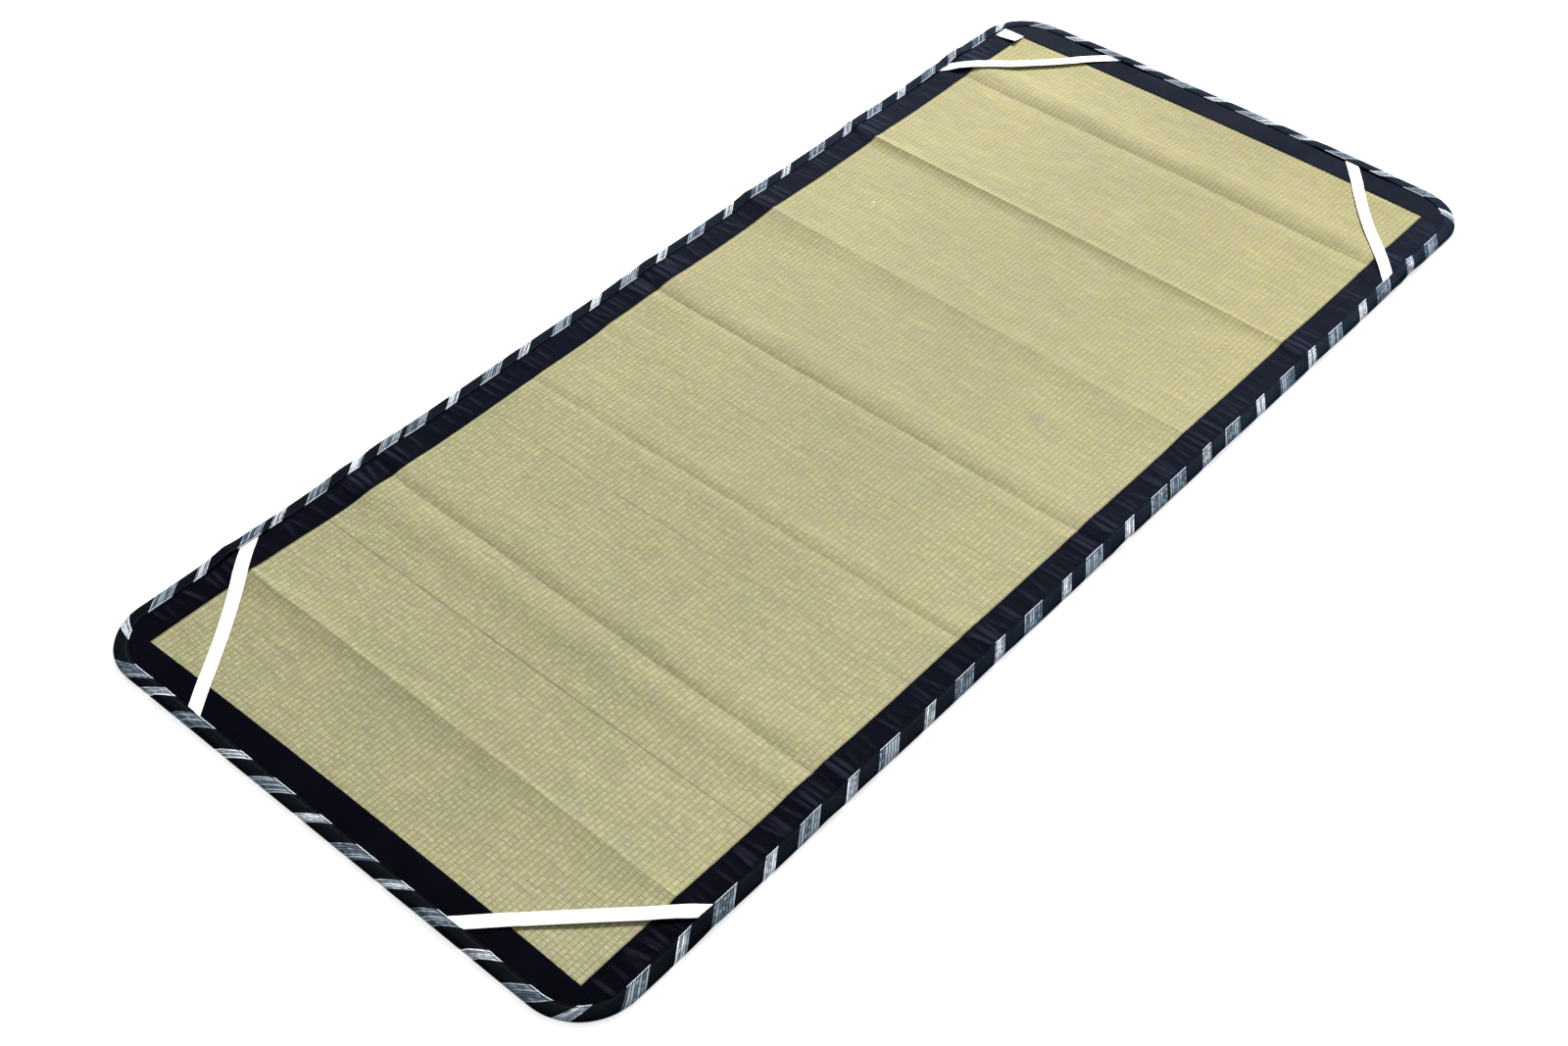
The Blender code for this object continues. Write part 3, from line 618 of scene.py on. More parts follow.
def make_strap(strap, material):
    """A slack elastic strap across a corner, with both ends caught under the binding."""
    fold = np.array([WIDTH / 2 - BINDING_WIDTH, LENGTH / 2 - BINDING_WIDTH])
    start = np.array([strap.side * fold[0], strap.along - LENGTH / 2])
    stop = np.array([strap.across, strap.end * fold[1]])
    way = (stop - start) / np.linalg.norm(stop - start)
    inward = np.array([-way[1], way[0]]) * -math.copysign(1.0, -way[1] * start[0] + way[0] * start[1])
    columns = np.linspace(0, 1, STRAP_COLUMNS + 1)
    origins = start + inward * STRAP_WIDTH * (columns[:, None] - 0.5)
    first = origins + way * ((strap.side * (fold[0] + STRAP_TUCK) - origins[:, 0]) / way[0])[:, None]
    last = origins + way * ((strap.end * (fold[1] + STRAP_TUCK) - origins[:, 1]) / way[1])[:, None]
    length = float(np.linalg.norm(last[0] - first[0]))
    tucks = [STRAP_TUCK / abs(step) for step in way]
    free = length - sum(tucks)
    turns = 0.5 - 0.5 * np.cos(math.pi * np.linspace(0, 1, STRAP_STEPS + 1))
    runs = np.concatenate([[0.0], tucks[0] + free * turns, [length]])
    shares = runs / length
    out = np.minimum(runs - tucks[0], length - tucks[1] - runs)
    swung = inward * strap.swing * (np.sin(math.pi * shares) ** 2)[:, None, None]
    grid = first[None] + (last - first)[None] * shares[:, None, None] + swung
    u, v = grid[..., 0], grid[..., 1]
    under = under_strap(u, v)
    highest = under.max(1)
    loose = highest + STRAP_TAUT * (taut_line(shares, highest) - highest) + strap.bow * 4 * shares * (1 - shares)
    away = ease(out / STRAP_LIFTOFF)[:, None]
    raised = strap.tilt * columns[None, :] * np.sin(math.pi * shares)[:, None]
    bottom = under + (loose[:, None] + raised - under) * away + GAP - lift(u, v)
    rounding = 0.3 * MM * np.abs(2 * columns - 1)[None, :] ** 6
    top = bottom + STRAP_THICKNESS - rounding
    if np.cross((u[0, -1] - u[0, 0], v[0, -1] - v[0, 0]), (u[-1, 0] - u[0, 0], v[-1, 0] - v[0, 0])) < 0:
        u, v, top, bottom = u[:, ::-1], v[:, ::-1], top[:, ::-1], bottom[:, ::-1]
    piece = add_sheet(f"elastic_{strap.name}", u, v, top, bottom, material)
    lengthwise = np.repeat(runs[:, None], STRAP_COLUMNS + 1, 1).ravel()
    crosswise = np.repeat(columns[None, :] * STRAP_WIDTH, len(runs), 0).ravel()
    set_map(piece, "pattern", np.tile(lengthwise, 2), np.tile(crosswise, 2))
    seated(piece, strap.name)
    return piece


def make_label(material):
    """The bare sewn-in label at the far left seam, with one corner curling up."""
    seam = LENGTH / 2 - FAR_MARGIN
    right = -SEAM_U + LABEL_OVER_RUSH
    along, across = np.meshgrid(np.linspace(0, 1, 19), np.linspace(0, 1, 23), indexing="ij")
    u = right - LABEL_WIDTH * (1 - across)
    v = seam - LABEL_HEIGHT * (1 - along)
    bottom = FLAP_BOTTOM + LABEL_CURL * ((1 - along) * (0.25 + 0.75 * across)) ** 1.5
    bottom = bottom + 0.12 * MM * np.sin(9 * across + 2) * np.sin(5 * along)
    label = add_sheet("blank_label", u, v, bottom + LABEL_THICKNESS, bottom, material)
    seated(label, "label")
    return label


class Nodes:
    """Places and links the nodes of one material or one node group."""

    def __init__(self, tree):
        self.tree = tree

    def add(self, kind, **values):
        node = self.tree.nodes.new(kind)
        for name, value in values.items():
            setattr(node, name, value)
        return node

    def feed(self, socket, value):
        if isinstance(value, bpy.types.NodeSocket):
            self.tree.links.new(value, socket)
        else:
            socket.default_value = value

    def math(self, operation, *values):
        node = self.add("ShaderNodeMath", operation=operation)
        for socket, value in zip(node.inputs, values):
            self.feed(socket, value)
        return node.outputs[0]

    def mix(self, share, first, second, blend="MIX"):
        node = self.add("ShaderNodeMix", data_type="RGBA", blend_type=blend)
        self.feed(node.inputs["Factor"], share)
        for name, value in (("A", first), ("B", second)):
            socket = next(s for s in node.inputs if s.name == name and s.type == "RGBA")
            self.feed(socket, value if isinstance(value, bpy.types.NodeSocket) else (*value, 1.0))
        return next(s for s in node.outputs if s.type == "RGBA")

    def spread(self, value, low, high, new_low=0.0, new_high=1.0, smooth=True):
        node = self.add("ShaderNodeMapRange", interpolation_type="SMOOTHSTEP" if smooth else "LINEAR")
        for name, number in (("From Min", low), ("From Max", high), ("To Min", new_low), ("To Max", new_high)):
            self.feed(node.inputs[name], number)
        self.feed(node.inputs["Value"], value)
        return node.outputs["Result"]

    def vector(self, x, y, z=0.0):
        node = self.add("ShaderNodeCombineXYZ")
        for socket, value in zip(node.inputs, (x, y, z)):
            self.feed(socket, value)
        return node.outputs[0]

    def pattern(self, name="pattern"):
        """The two numbers of a pattern map, in metres."""
        uv = self.add("ShaderNodeUVMap", uv_map=name)
        split = self.add("ShaderNodeSeparateXYZ")
        self.tree.links.new(uv.outputs[0], split.inputs[0])
        return split.outputs[0], split.outputs[1]

    def noise(self, vector, scale, detail=2.0, roughness=0.5):
        node = self.add("ShaderNodeTexNoise")
        self.feed(node.inputs["Vector"], vector)
        self.feed(node.inputs["Scale"], scale)
        self.feed(node.inputs["Detail"], detail)
        self.feed(node.inputs["Roughness"], roughness)
        return node.outputs[0]

    def random(self, x, y, z=0.0):
        """A number from 0 to 1 for each cell."""
        node = self.add("ShaderNodeTexWhiteNoise", noise_dimensions="3D")
        self.feed(node.inputs["Vector"], self.vector(x, y, z))
        return node.outputs["Value"]

    def arch(self, position, power=2.0):
        """1 in the middle of each cell and 0 at its ends, from a position in cells."""
        within = self.math("FRACT", position)
        off = self.math("ABSOLUTE", self.math("MULTIPLY_ADD", within, 2.0, -1.0))
        return self.math("SUBTRACT", 1.0, self.math("POWER", off, power))


def new_group(name, inputs, outputs):
    """A shader node group with named number, vector or colour sockets, its nodes and its two ends."""
    tree = bpy.data.node_groups.new(name, "ShaderNodeTree")
    for socket, kind, value in inputs:
        made = tree.interface.new_socket(socket, in_out="INPUT", socket_type=kind)
        if value is not None:
            made.default_value = value
    for socket, kind in outputs:
        tree.interface.new_socket(socket, in_out="OUTPUT", socket_type=kind)
    nodes = Nodes(tree)
    return tree, nodes, nodes.add("NodeGroupInput").outputs, nodes.add("NodeGroupOutput").inputs


def placed(nodes, group, **values):
    """A group placed in a material. Underscores in the value names stand for blanks."""
    node = nodes.add("ShaderNodeGroup", node_tree=group)
    for name, value in values.items():
        nodes.feed(node.inputs[name.replace("_", " ")], value)
    return node.outputs


def plain_cloth_group():
    """Fine plain weave: a relief, a shade for each thread crossing and soft worn patches."""
    inputs = [("Along", "NodeSocketFloat", 0.0), ("Across", "NodeSocketFloat", 0.0),
              ("Thread", "NodeSocketFloat", 0.0006), ("Patch", "NodeSocketFloat", 0.05)]
    outputs = [("Relief", "NodeSocketFloat"), ("Shade", "NodeSocketFloat"), ("Wear", "NodeSocketFloat")]
    tree, nodes, given, made = new_group("plain_cloth", inputs, outputs)
    warp = nodes.math("DIVIDE", given["Along"], given["Thread"])
    weft = nodes.math("DIVIDE", given["Across"], given["Thread"])
    odd = nodes.math("MODULO", nodes.math("FLOOR", nodes.math("ADD", nodes.math("FLOOR", warp), nodes.math("FLOOR", weft))), 2.0)
    crossing = nodes.math("MULTIPLY", nodes.arch(warp), nodes.arch(weft))
    nodes.feed(made["Relief"], nodes.math("MULTIPLY", crossing, nodes.math("MULTIPLY_ADD", nodes.math("ABSOLUTE", odd), 0.4, 0.6)))
    nodes.feed(made["Shade"], nodes.random(nodes.math("FLOOR", warp), nodes.math("FLOOR", weft)))
    place = nodes.vector(given["Along"], given["Across"])
    patches = nodes.noise(place, nodes.math("DIVIDE", 1.0, given["Patch"]), 3.0, 0.6)
    nodes.feed(made["Wear"], nodes.spread(patches, 0.35, 0.7))
    return tree


def new_material(name, roughness, specular):
    material = bpy.data.materials.new(name)
    material.use_nodes = True
    shader = material.node_tree.nodes["Principled BSDF"]
    shader.inputs["Roughness"].default_value = roughness
    shader.inputs["Specular IOR Level"].default_value = specular
    return material, Nodes(material.node_tree), shader


def bumped(nodes, shader, height, distance, strength=1.0):
    bump = nodes.add("ShaderNodeBump")
    bump.inputs["Strength"].default_value = strength
    bump.inputs["Distance"].default_value = distance
    nodes.feed(bump.inputs["Height"], height)
    nodes.feed(shader.inputs["Normal"], bump.outputs[0])


RUSH_GREEN = (0.245, 0.250, 0.109)
RUSH_STRAW = (0.327, 0.298, 0.135)
RUSH_GREY = (0.285, 0.253, 0.150)
RUSH_PALE = (0.600, 0.550, 0.290)
RUSH_DARK = (0.045, 0.041, 0.019)
STRAND_PITCH = 2.1 * MM
RUN_LENGTH = 70 * MM  # how far along a strand its tone holds
NEAR_PAINTED_LIGHT = (0.975, 0.99, 1.10)  # painted light: tint at the near end, and at the far end, that evens out how the light falls along the mat
FAR_PAINTED_LIGHT = (0.90, 0.865, 0.715)
SIDE_PAINTED_LIGHT = 0.12  # painted light: how much lighter the rush is painted towards the long edges, where more light fell
# Strands that show as thin dark lines: distances from the near end in millimetres at left and right, strength
DARK_STRANDS = ((351, 345, 0.5), (645, 644, 0.3), (885, 884, 0.2))
# Small marks on the rush: place in millimetres from the middle of the mat, radius and tone
MARKS = ((211, 149, 17, (0.20, 0.19, 0.15)), (-281, 391, 3.5, (0.8, 0.8, 0.75)))


def rush_material():
    """Rush strands that run across the mat, over one rib and under the next."""
    material, nodes, shader = new_material("rush_weave", 0.62, 0.12)
    u, v = nodes.pattern()
    place = nodes.vector(u, v)
    rib = nodes.math("ADD", nodes.math("DIVIDE", u, RIB_PITCH), 0.5)
    rib_number = nodes.math("FLOOR", rib)
    waver = nodes.noise(nodes.vector(nodes.math("MULTIPLY", u, 0.4), v), 40.0, 1.0)
    strand = nodes.math("ADD", nodes.math("DIVIDE", v, STRAND_PITCH), nodes.math("MULTIPLY", waver, 1.2))
    run_number = nodes.math("FLOOR", strand)
    strand = nodes.math("ADD", strand, nodes.math("MULTIPLY", nodes.math("FLOORED_MODULO", rib_number, 2.0), 0.5))
    strand_number = nodes.math("FLOOR", strand)
    gap_number = nodes.math("FLOOR", nodes.math("ADD", strand, 0.5))
    float_tone = nodes.random(rib_number, strand_number, 7.0)
    gap_tone = nodes.random(rib_number, gap_number, 15.0)
    run = nodes.noise(nodes.vector(nodes.math("DIVIDE", u, RUN_LENGTH), nodes.math("MULTIPLY", run_number, 5.37)), 1.0, 1.0)
    over_rib = nodes.arch(rib, 2.0)
    rounded = nodes.arch(strand, 2.0)

    patches = nodes.noise(place, 7.0, 3.0, 0.6)
    clouds = nodes.noise(nodes.vector(nodes.math("MULTIPLY", u, 0.6), v), 38.0, 2.0)
    colour = nodes.mix(nodes.spread(patches, 0.3, 0.7, 0.2, 0.65), RUSH_STRAW, RUSH_GREEN)
    colour = nodes.mix(nodes.spread(clouds, 0.4, 0.7, 0.1, 0.55), colour, RUSH_GREY)
    colour = nodes.mix(nodes.spread(run, 0.52, 0.75, 0.0, 0.26), colour, RUSH_PALE)
    colour = nodes.mix(nodes.spread(run, 0.45, 0.28, 0.0, 0.14), colour, RUSH_DARK)
    stroke = nodes.math("MULTIPLY", nodes.spread(rounded, 0.5, 1.0), nodes.spread(over_rib, 0.2, 0.7))
    bright = nodes.math("MULTIPLY", nodes.spread(float_tone, 0.3, 1.0, 0.0, 0.6), stroke)
    colour = nodes.mix(bright, colour, RUSH_PALE)
    between = nodes.math("SUBTRACT", 1.0, nodes.spread(rounded, 0.0, 0.5))
    gap = nodes.math("MULTIPLY", between, nodes.spread(gap_tone, 0.1, 1.0, 0.2, 1.0, smooth=False))
    dark_run = nodes.math("MULTIPLY", between, nodes.spread(run, 0.42, 0.25, 0.0, 0.6))
    groove = nodes.math("MULTIPLY", nodes.math("SUBTRACT", 1.0, nodes.spread(over_rib, 0.02, 0.4)), 0.55)
    dark = nodes.math("MAXIMUM", nodes.math("MAXIMUM", gap, dark_run), groove)
    dark = nodes.math("ADD", dark, nodes.math("MULTIPLY", nodes.math("MULTIPLY", between, groove), 0.5))
    for left, right, strength in DARK_STRANDS:
        middle = (left + right) / 2 * MM - LENGTH / 2
        line = nodes.math("MULTIPLY_ADD", u, (left - right) * MM / WIDTH, nodes.math("SUBTRACT", v, middle))
        line = nodes.spread(nodes.math("ABSOLUTE", line), 0.4 * MM, 2.2 * MM, strength, 0.0)
        dark = nodes.math("MAXIMUM", dark, line)
    colour = nodes.mix(dark, colour, RUSH_DARK)

    for mark_u, mark_v, radius, tone in MARKS:
        away = nodes.add("ShaderNodeVectorMath", operation="DISTANCE")
        nodes.feed(away.inputs[0], place)
        away.inputs[1].default_value = (mark_u * MM, mark_v * MM, 0.0)
        spot = nodes.spread(away.outputs["Value"], 0.3 * radius * MM, radius * MM, 0.45, 0.0)
        colour = nodes.mix(spot, colour, tone)

    along = nodes.math("MULTIPLY_ADD", v, 1 / LENGTH, 0.5)
    # Painted light: a tint running from the near end to the far end stands in for how the light falls along the mat.
    colour = nodes.mix(1.0, colour, nodes.mix(along, NEAR_PAINTED_LIGHT, FAR_PAINTED_LIGHT), blend="MULTIPLY")
    # Painted light: the rush is painted lighter towards both long edges, more so on the left towards the far end,
    # standing in for how the light fell across the mat.
    right_painted_light = nodes.spread(u, 0.05, 0.33, 0.0, SIDE_PAINTED_LIGHT)
    left_painted_light = nodes.math("MULTIPLY", nodes.spread(u, -0.05, -0.33, 0.0, SIDE_PAINTED_LIGHT), along)
    painted_side_light = nodes.math("ADD", nodes.math("ADD", right_painted_light, left_painted_light), 1.0)
    colour = nodes.mix(1.0, colour, nodes.vector(painted_side_light, painted_side_light, painted_side_light), blend="MULTIPLY")
    nodes.feed(shader.inputs["Base Color"], colour)
    nodes.feed(shader.inputs["Roughness"], nodes.spread(float_tone, 0.0, 1.0, 0.5, 0.72))
    height = nodes.math("MULTIPLY", rounded, nodes.math("MULTIPLY_ADD", over_rib, 0.6, 0.4))
    height = nodes.math("ADD", height, nodes.math("MULTIPLY", float_tone, 0.35))
    bumped(nodes, shader, height, 0.4 * MM, 0.6)
    return material


BORDER_NAVY = (0.0007, 0.0004, 0.0012)
BORDER_WORN = (0.0016, 0.0013, 0.0028)
BORDER_FAR_SHEEN = (0.0022, 0.0042, 0.0090)  # painted sheen, added towards the far end where the cloth catches the light's reflection
BORDER_CREST_WEAR_AND_HIGHLIGHT = (0.013, 0.013, 0.023)  # wear along the crests of the puckers, and painted highlight on pucker flanks facing the light


def border_material(cloth):
    """Tightly woven dark cotton with a slight sheen, painted sheen towards the far end and painted light and shade on
    the puckers.
    """
    material, nodes, shader = new_material("border_cotton", 0.5, 0.005)
    shader.inputs["Specular Tint"].default_value = (0.55, 0.72, 1.0, 1.0)
    u, v = nodes.pattern()
    weave = placed(nodes, cloth, Along=v, Across=u, Thread=0.5 * MM, Patch=0.09)
    colour = nodes.mix(weave["Wear"], BORDER_NAVY, BORDER_WORN)
    colour = nodes.mix(nodes.math("MULTIPLY", weave["Shade"], 0.3), colour, BORDER_WORN)
    crest, painted_pucker_shade = nodes.pattern("pucker")
    # Wear on the pucker crests with painted highlight on their lit flanks, then painted shade, near black, in the
    # wrinkles and on the shaded flanks.
    colour = nodes.mix(nodes.spread(crest, 0.15, 1.0), colour, BORDER_CREST_WEAR_AND_HIGHLIGHT)
    colour = nodes.mix(nodes.spread(painted_pucker_shade, 0.1, 0.8, 0.0, 0.8), colour, (0.0, 0.0, 0.0))
    # Painted sheen: a bluish lift added to the cloth's colour towards the far end.
    colour = nodes.mix(nodes.math("MULTIPLY_ADD", v, 1 / LENGTH, 0.5), colour, BORDER_FAR_SHEEN, blend="ADD")
    nodes.feed(shader.inputs["Base Color"], colour)
    nodes.feed(shader.inputs["Roughness"], nodes.spread(weave["Wear"], 0.0, 1.0, 0.46, 0.56))
    shader.inputs["Sheen Weight"].default_value = 0.08
    shader.inputs["Sheen Roughness"].default_value = 0.4
    shader.inputs["Sheen Tint"].default_value = (0.34, 0.44, 1.0, 1.0)
    bumped(nodes, shader, weave["Relief"], 0.12 * MM, 0.5)
    return material


BINDING_GROUND = (0.0015, 0.0025, 0.0040)
BINDING_FAR_SHEEN = (0.002, 0.007, 0.016)  # painted sheen, added towards the far end
BAR_BLUE = (0.050, 0.075, 0.105)
BAR_GREY = (0.15, 0.185, 0.22)
BAR_PALE = (0.29, 0.34, 0.39)
BAR_WHITE = (0.72, 0.77, 0.82)
BAR_SLIT = (0.006, 0.009, 0.014)
WIDE_LINE = 5.9 * MM  # from line to line in a wide and in a light bar
LIGHT_LINE = 4.4 * MM
BAR_DASH = 2.6 * MM
LIP_WIDTH = 2.1 * MM  # where a bar ends in a row of white dashes, past the topstitching
LIP_DASH = 3.4 * MM


def binding_material(cloth):
    """Dark bias cloth with slanted bars of pale stripes, one bar wide and bluish and the next light, with painted
    sheen towards the far end.
    """
    material, nodes, shader = new_material("binding_cotton", 0.6, 0.015)
    along, across = nodes.pattern()
    offset, kind = nodes.pattern("bar")
    weave = placed(nodes, cloth, Along=along, Across=across, Thread=0.55 * MM, Patch=0.03)
    in_wide = nodes.math("COMPARE", kind, 1.0, 0.3)
    in_light = nodes.math("COMPARE", kind, 2.0, 0.3)
    fray = nodes.math("MULTIPLY_ADD", nodes.noise(nodes.vector(along, across), 900.0), 0.5 * MM, -0.25 * MM)
    place = nodes.math("ADD", offset, fray)
    dash = nodes.math("FLOOR", nodes.math("DIVIDE", across, BAR_DASH))
    stretch = nodes.math("FLOOR", nodes.math("DIVIDE", along, 0.1))
    in_lip = nodes.math("LESS_THAN", across, LIP_WIDTH)
    lip_dash = nodes.spread(nodes.arch(nodes.math("DIVIDE", place, LIP_DASH)), 0.35, 0.6)
    lip = nodes.mix(lip_dash, BINDING_GROUND, BAR_WHITE)

    def bar(pitch, low, high):
        """Fine pale lines along a bar's slant, each of its own tone and flecked, with dark slits between."""
        line = nodes.math("ADD", nodes.math("DIVIDE", place, pitch), 0.5)
        line_number = nodes.math("FLOOR", line)
        fleck = nodes.math("MULTIPLY", nodes.random(line_number, dash, stretch), 0.4)
        fleck = nodes.math("MULTIPLY_ADD", nodes.random(line_number, 3.0, stretch), 0.6, fleck)
        slit = nodes.spread(nodes.arch(line), 0.3, 0.65)
        pale = nodes.mix(nodes.spread(fleck, 0.15, 0.8), low, high)
        return nodes.mix(in_lip, nodes.mix(slit, BAR_SLIT, pale), lip)

    wide = bar(WIDE_LINE, BAR_BLUE, BAR_PALE)
    light = bar(LIGHT_LINE, BAR_GREY, BAR_WHITE)
    colour = nodes.mix(in_wide, BINDING_GROUND, wide)
    colour = nodes.mix(in_light, colour, light)
    # Painted sheen: a bluish lift added towards the far end, read from the piece's own place along the mat.
    split = nodes.add("ShaderNodeSeparateXYZ")
    nodes.feed(split.inputs[0], nodes.add("ShaderNodeTexCoord").outputs["Object"])
    far = nodes.math("MULTIPLY_ADD", split.outputs["Y"], 1 / LENGTH, 0.5)
    colour = nodes.mix(far, colour, BINDING_FAR_SHEEN, blend="ADD")
    nodes.feed(shader.inputs["Base Color"], colour)
    nodes.feed(shader.inputs["Roughness"], nodes.spread(weave["Wear"], 0.0, 1.0, 0.6, 0.72))
    shader.inputs["Sheen Weight"].default_value = 0.03
    shader.inputs["Sheen Roughness"].default_value = 0.4
    shader.inputs["Sheen Tint"].default_value = (0.4, 0.6, 1.0, 1.0)
    bumped(nodes, shader, weave["Relief"], 0.15 * MM, 0.6)
    return material


def elastic_material():
    """White knitted elastic: fine lengthwise ribs crossed by short loops."""
    material, nodes, shader = new_material("knitted_elastic", 0.6, 0.3)
    along, across = nodes.pattern()
    ribs = nodes.arch(nodes.math("DIVIDE", across, 1.45 * MM))
    loops = nodes.arch(nodes.math("DIVIDE", along, 0.9 * MM))
    patches = nodes.noise(nodes.vector(along, across), 60.0, 2.0)
    colour = nodes.mix(nodes.math("MULTIPLY", ribs, 0.6), (0.90, 0.90, 0.89), (0.97, 0.97, 0.96))
    colour = nodes.mix(nodes.spread(patches, 0.5, 0.8, 0.0, 0.2), colour, (0.88, 0.88, 0.86))
    nodes.feed(shader.inputs["Base Color"], colour)
    nodes.feed(shader.inputs["Roughness"], nodes.spread(patches, 0.3, 0.7, 0.55, 0.7))
    bumped(nodes, shader, nodes.math("MULTIPLY_ADD", ribs, 0.7, nodes.math("MULTIPLY", loops, 0.3)), 0.2 * MM, 0.6)
    return material


def label_material(cloth):
    """Smooth white woven tape, left bare."""
    material, nodes, shader = new_material("label_tape", 0.5, 0.35)
    u, v = nodes.pattern()
    weave = placed(nodes, cloth, Along=u, Across=v, Thread=0.4 * MM, Patch=0.01)
    colour = nodes.mix(nodes.math("MULTIPLY", weave["Shade"], 0.4), (0.84, 0.84, 0.82), (0.78, 0.78, 0.75))
    nodes.feed(shader.inputs["Base Color"], colour)
    nodes.feed(shader.inputs["Roughness"], nodes.spread(weave["Wear"], 0.0, 1.0, 0.45, 0.6))
    bumped(nodes, shader, weave["Relief"], 0.08 * MM, 0.5)
    return material


def thread_material():
    """Twisted dark sewing thread."""
    material, nodes, shader = new_material("sewing_thread", 0.5, 0.4)
    place = nodes.add("ShaderNodeTexCoord").outputs["Object"]
    twist = nodes.noise(place, 1500.0, 1.0)
    nodes.feed(shader.inputs["Base Color"], nodes.mix(twist, (0.006, 0.008, 0.013), (0.03, 0.036, 0.05)))
    bumped(nodes, shader, twist, 0.1 * MM, 0.5)
    return material


def stitch_tree(material):
    """Geometry Nodes: one short thread laid at even steps along each curve."""
    tree = bpy.data.node_groups.new("stitch_row", "GeometryNodeTree")
    tree.interface.new_socket("Geometry", in_out="INPUT", socket_type="NodeSocketGeometry")
    for name in ("Pitch", "Length", "Thickness"):
        tree.interface.new_socket(name, in_out="INPUT", socket_type="NodeSocketFloat")
    tree.interface.new_socket("Geometry", in_out="OUTPUT", socket_type="NodeSocketGeometry")
    nodes, link = tree.nodes, tree.links.new
    given, made = nodes.new("NodeGroupInput"), nodes.new("NodeGroupOutput")
    even = nodes.new("GeometryNodeResampleCurve")
    even.mode = "LENGTH"
    link(given.outputs["Geometry"], even.inputs["Curve"])
    link(given.outputs["Pitch"], even.inputs["Length"])
    thread = nodes.new("GeometryNodeMeshUVSphere")
    thread.inputs["Segments"].default_value = 5
    thread.inputs["Rings"].default_value = 4
    thread.inputs["Radius"].default_value = 0.5
    size = nodes.new("ShaderNodeCombineXYZ")
    link(given.outputs["Thickness"], size.inputs["X"])
    link(given.outputs["Thickness"], size.inputs["Y"])
    link(given.outputs["Length"], size.inputs["Z"])
    tangent = nodes.new("GeometryNodeInputTangent")
    turn = nodes.new("FunctionNodeAlignEulerToVector")
    turn.axis = "Z"
    link(tangent.outputs[0], turn.inputs["Vector"])
    copies = nodes.new("GeometryNodeInstanceOnPoints")
    link(even.outputs[0], copies.inputs["Points"])
    link(thread.outputs["Mesh"], copies.inputs["Instance"])
    link(turn.outputs[0], copies.inputs["Rotation"])
    link(size.outputs[0], copies.inputs["Scale"])
    real = nodes.new("GeometryNodeRealizeInstances")
    link(copies.outputs[0], real.inputs[0])
    coloured = nodes.new("GeometryNodeSetMaterial")
    coloured.inputs["Material"].default_value = material
    link(real.outputs[0], coloured.inputs["Geometry"])
    link(coloured.outputs[0], made.inputs[0])
    return tree


def make_topstitch(material):
    """The row of stitches that holds the binding down, in its groove."""
    steps = round(RIM / (6 * MM))
    s = np.linspace(0, RIM, steps, endpoint=False)
    u, v = rim_points(s, np.full_like(s, STITCH_INSET))
    points = lay(u, v, 6.05 * MM + flap_lift(u, v))
    row = bpy.data.curves.new("topstitch_path", "CURVE")
    row.dimensions = "3D"
    spline = row.splines.new("POLY")
    spline.points.add(len(points) - 1)
    spline.points.foreach_set("co", np.concatenate([points, np.ones((len(points), 1))], 1).ravel())
    spline.use_cyclic_u = True
    path = bpy.data.objects.new("topstitch_path", row)
    bpy.context.collection.objects.link(path)
    modifier = path.modifiers.new("stitches", "NODES")
    modifier.node_group = stitch_tree(material)
    sizes = {"Pitch": STITCH_PITCH, "Length": STITCH_LENGTH, "Thickness": STITCH_THICKNESS}
    for item in modifier.node_group.interface.items_tree:
        if item.in_out == "INPUT" and item.name in sizes:
            modifier[item.identifier] = sizes[item.name]
    bpy.context.view_layer.update()
    graph = bpy.context.evaluated_depsgraph_get()
    mesh = bpy.data.meshes.new_from_object(path.evaluated_get(graph), depsgraph=graph)
    bpy.data.objects.remove(path, do_unlink=True)
    mesh.name = "binding_topstitch"
    stitches = bpy.data.objects.new("binding_topstitch", mesh)
    bpy.context.collection.objects.link(stitches)
    mesh.shade_smooth()
    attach(stitches, "root")
    return stitches


def make_floor():
    """A plain pale floor that reaches past the view."""
    mesh = bpy.data.meshes.new("floor")
    reach = 30.0
    level = -0.0002
    mesh.from_pydata([(-reach, -reach, level), (reach, -reach, level), (reach, reach, level), (-reach, reach, level)], [], [(0, 1, 2, 3)])
    material, nodes, shader = new_material("pale_floor", 0.9, 0.0)
    shader.inputs["Base Color"].default_value = (0.93, 0.93, 0.93, 1.0)
    shader.inputs["Emission Color"].default_value = (1.0, 1.0, 1.0, 1.0)
    shader.inputs["Emission Strength"].default_value = 0.60
    mesh.materials.append(material)
    floor = bpy.data.objects.new("floor", mesh)
    bpy.context.collection.objects.link(floor)


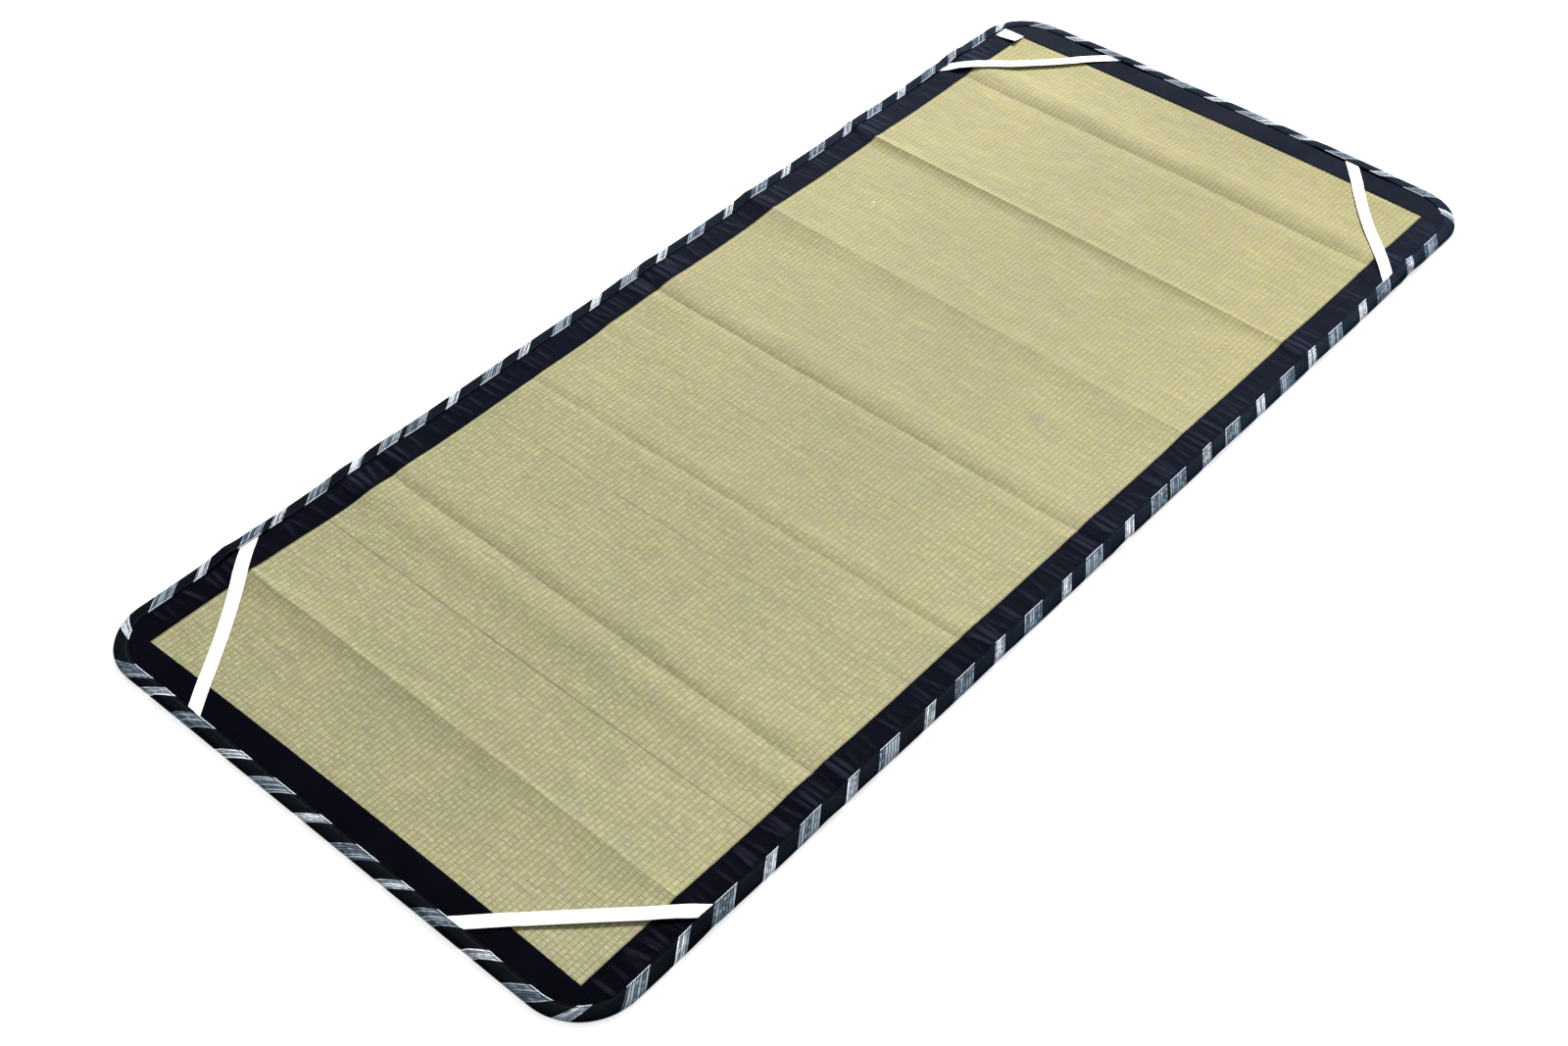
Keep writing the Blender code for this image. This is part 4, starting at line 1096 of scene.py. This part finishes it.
def aimed(position, target):
    """The turn that points a light from one place at another."""
    from mathutils import Vector

    return (Vector(target) - Vector(position)).to_track_quat("-Z", "Y").to_euler()


def make_lights():
    world = bpy.data.worlds.new("studio")
    bpy.context.scene.world = world
    world.use_nodes = True
    world.node_tree.nodes["Background"].inputs["Color"].default_value = (1.0, 1.0, 1.0, 1.0)
    world.node_tree.nodes["Background"].inputs["Strength"].default_value = 0.40
    for name, position, size, power in (("far_window", (-4.8, 8.8, 6.6), 4.0, 3300.0),):
        data = bpy.data.lights.new(name, "AREA")
        data.shape = "DISK"
        data.size = size
        data.energy = power
        light = bpy.data.objects.new(name, data)
        light.location = position
        light.rotation_euler = aimed(position, (0.0, 0.1, 0.0))
        bpy.context.collection.objects.link(light)


CAMERA_PLACE = (1.42025, -1.8095, 2.0735)
CAMERA_RIGHT = (0.75448, 0.65627, 0.00786)
CAMERA_UP = (-0.46972, 0.53157, 0.70483)
CAMERA_BACK = (0.45838, -0.53548, 0.70933)
CAMERA_LENS = 49.615


def make_camera():
    from mathutils import Matrix

    data = bpy.data.cameras.new("camera")
    data.lens = CAMERA_LENS
    data.sensor_width = 36
    camera = bpy.data.objects.new("camera", data)
    turn = Matrix((CAMERA_RIGHT, CAMERA_UP, CAMERA_BACK)).transposed()
    camera.matrix_world = Matrix.Translation(CAMERA_PLACE) @ turn.to_4x4()
    bpy.context.collection.objects.link(camera)
    bpy.context.scene.camera = camera
    bpy.context.scene.view_settings.view_transform = "Standard"


def main():
    cloth = plain_cloth_group()
    border = border_material(cloth)
    make_rush_panel(rush_material())
    make_end_border("border_strip_near", "border_near", -1, border)
    make_end_border("border_strip_far", "border_far", 1, border)
    make_side_border("border_strip_left", "border_left", -1, border)
    make_side_border("border_strip_right", "border_right", 1, border)
    make_binding(binding_material(cloth))
    make_topstitch(thread_material())
    elastic = elastic_material()
    for strap in STRAPS:
        make_strap(strap, elastic)
    make_label(label_material(cloth))
    make_floor()
    make_lights()
    make_camera()


main()
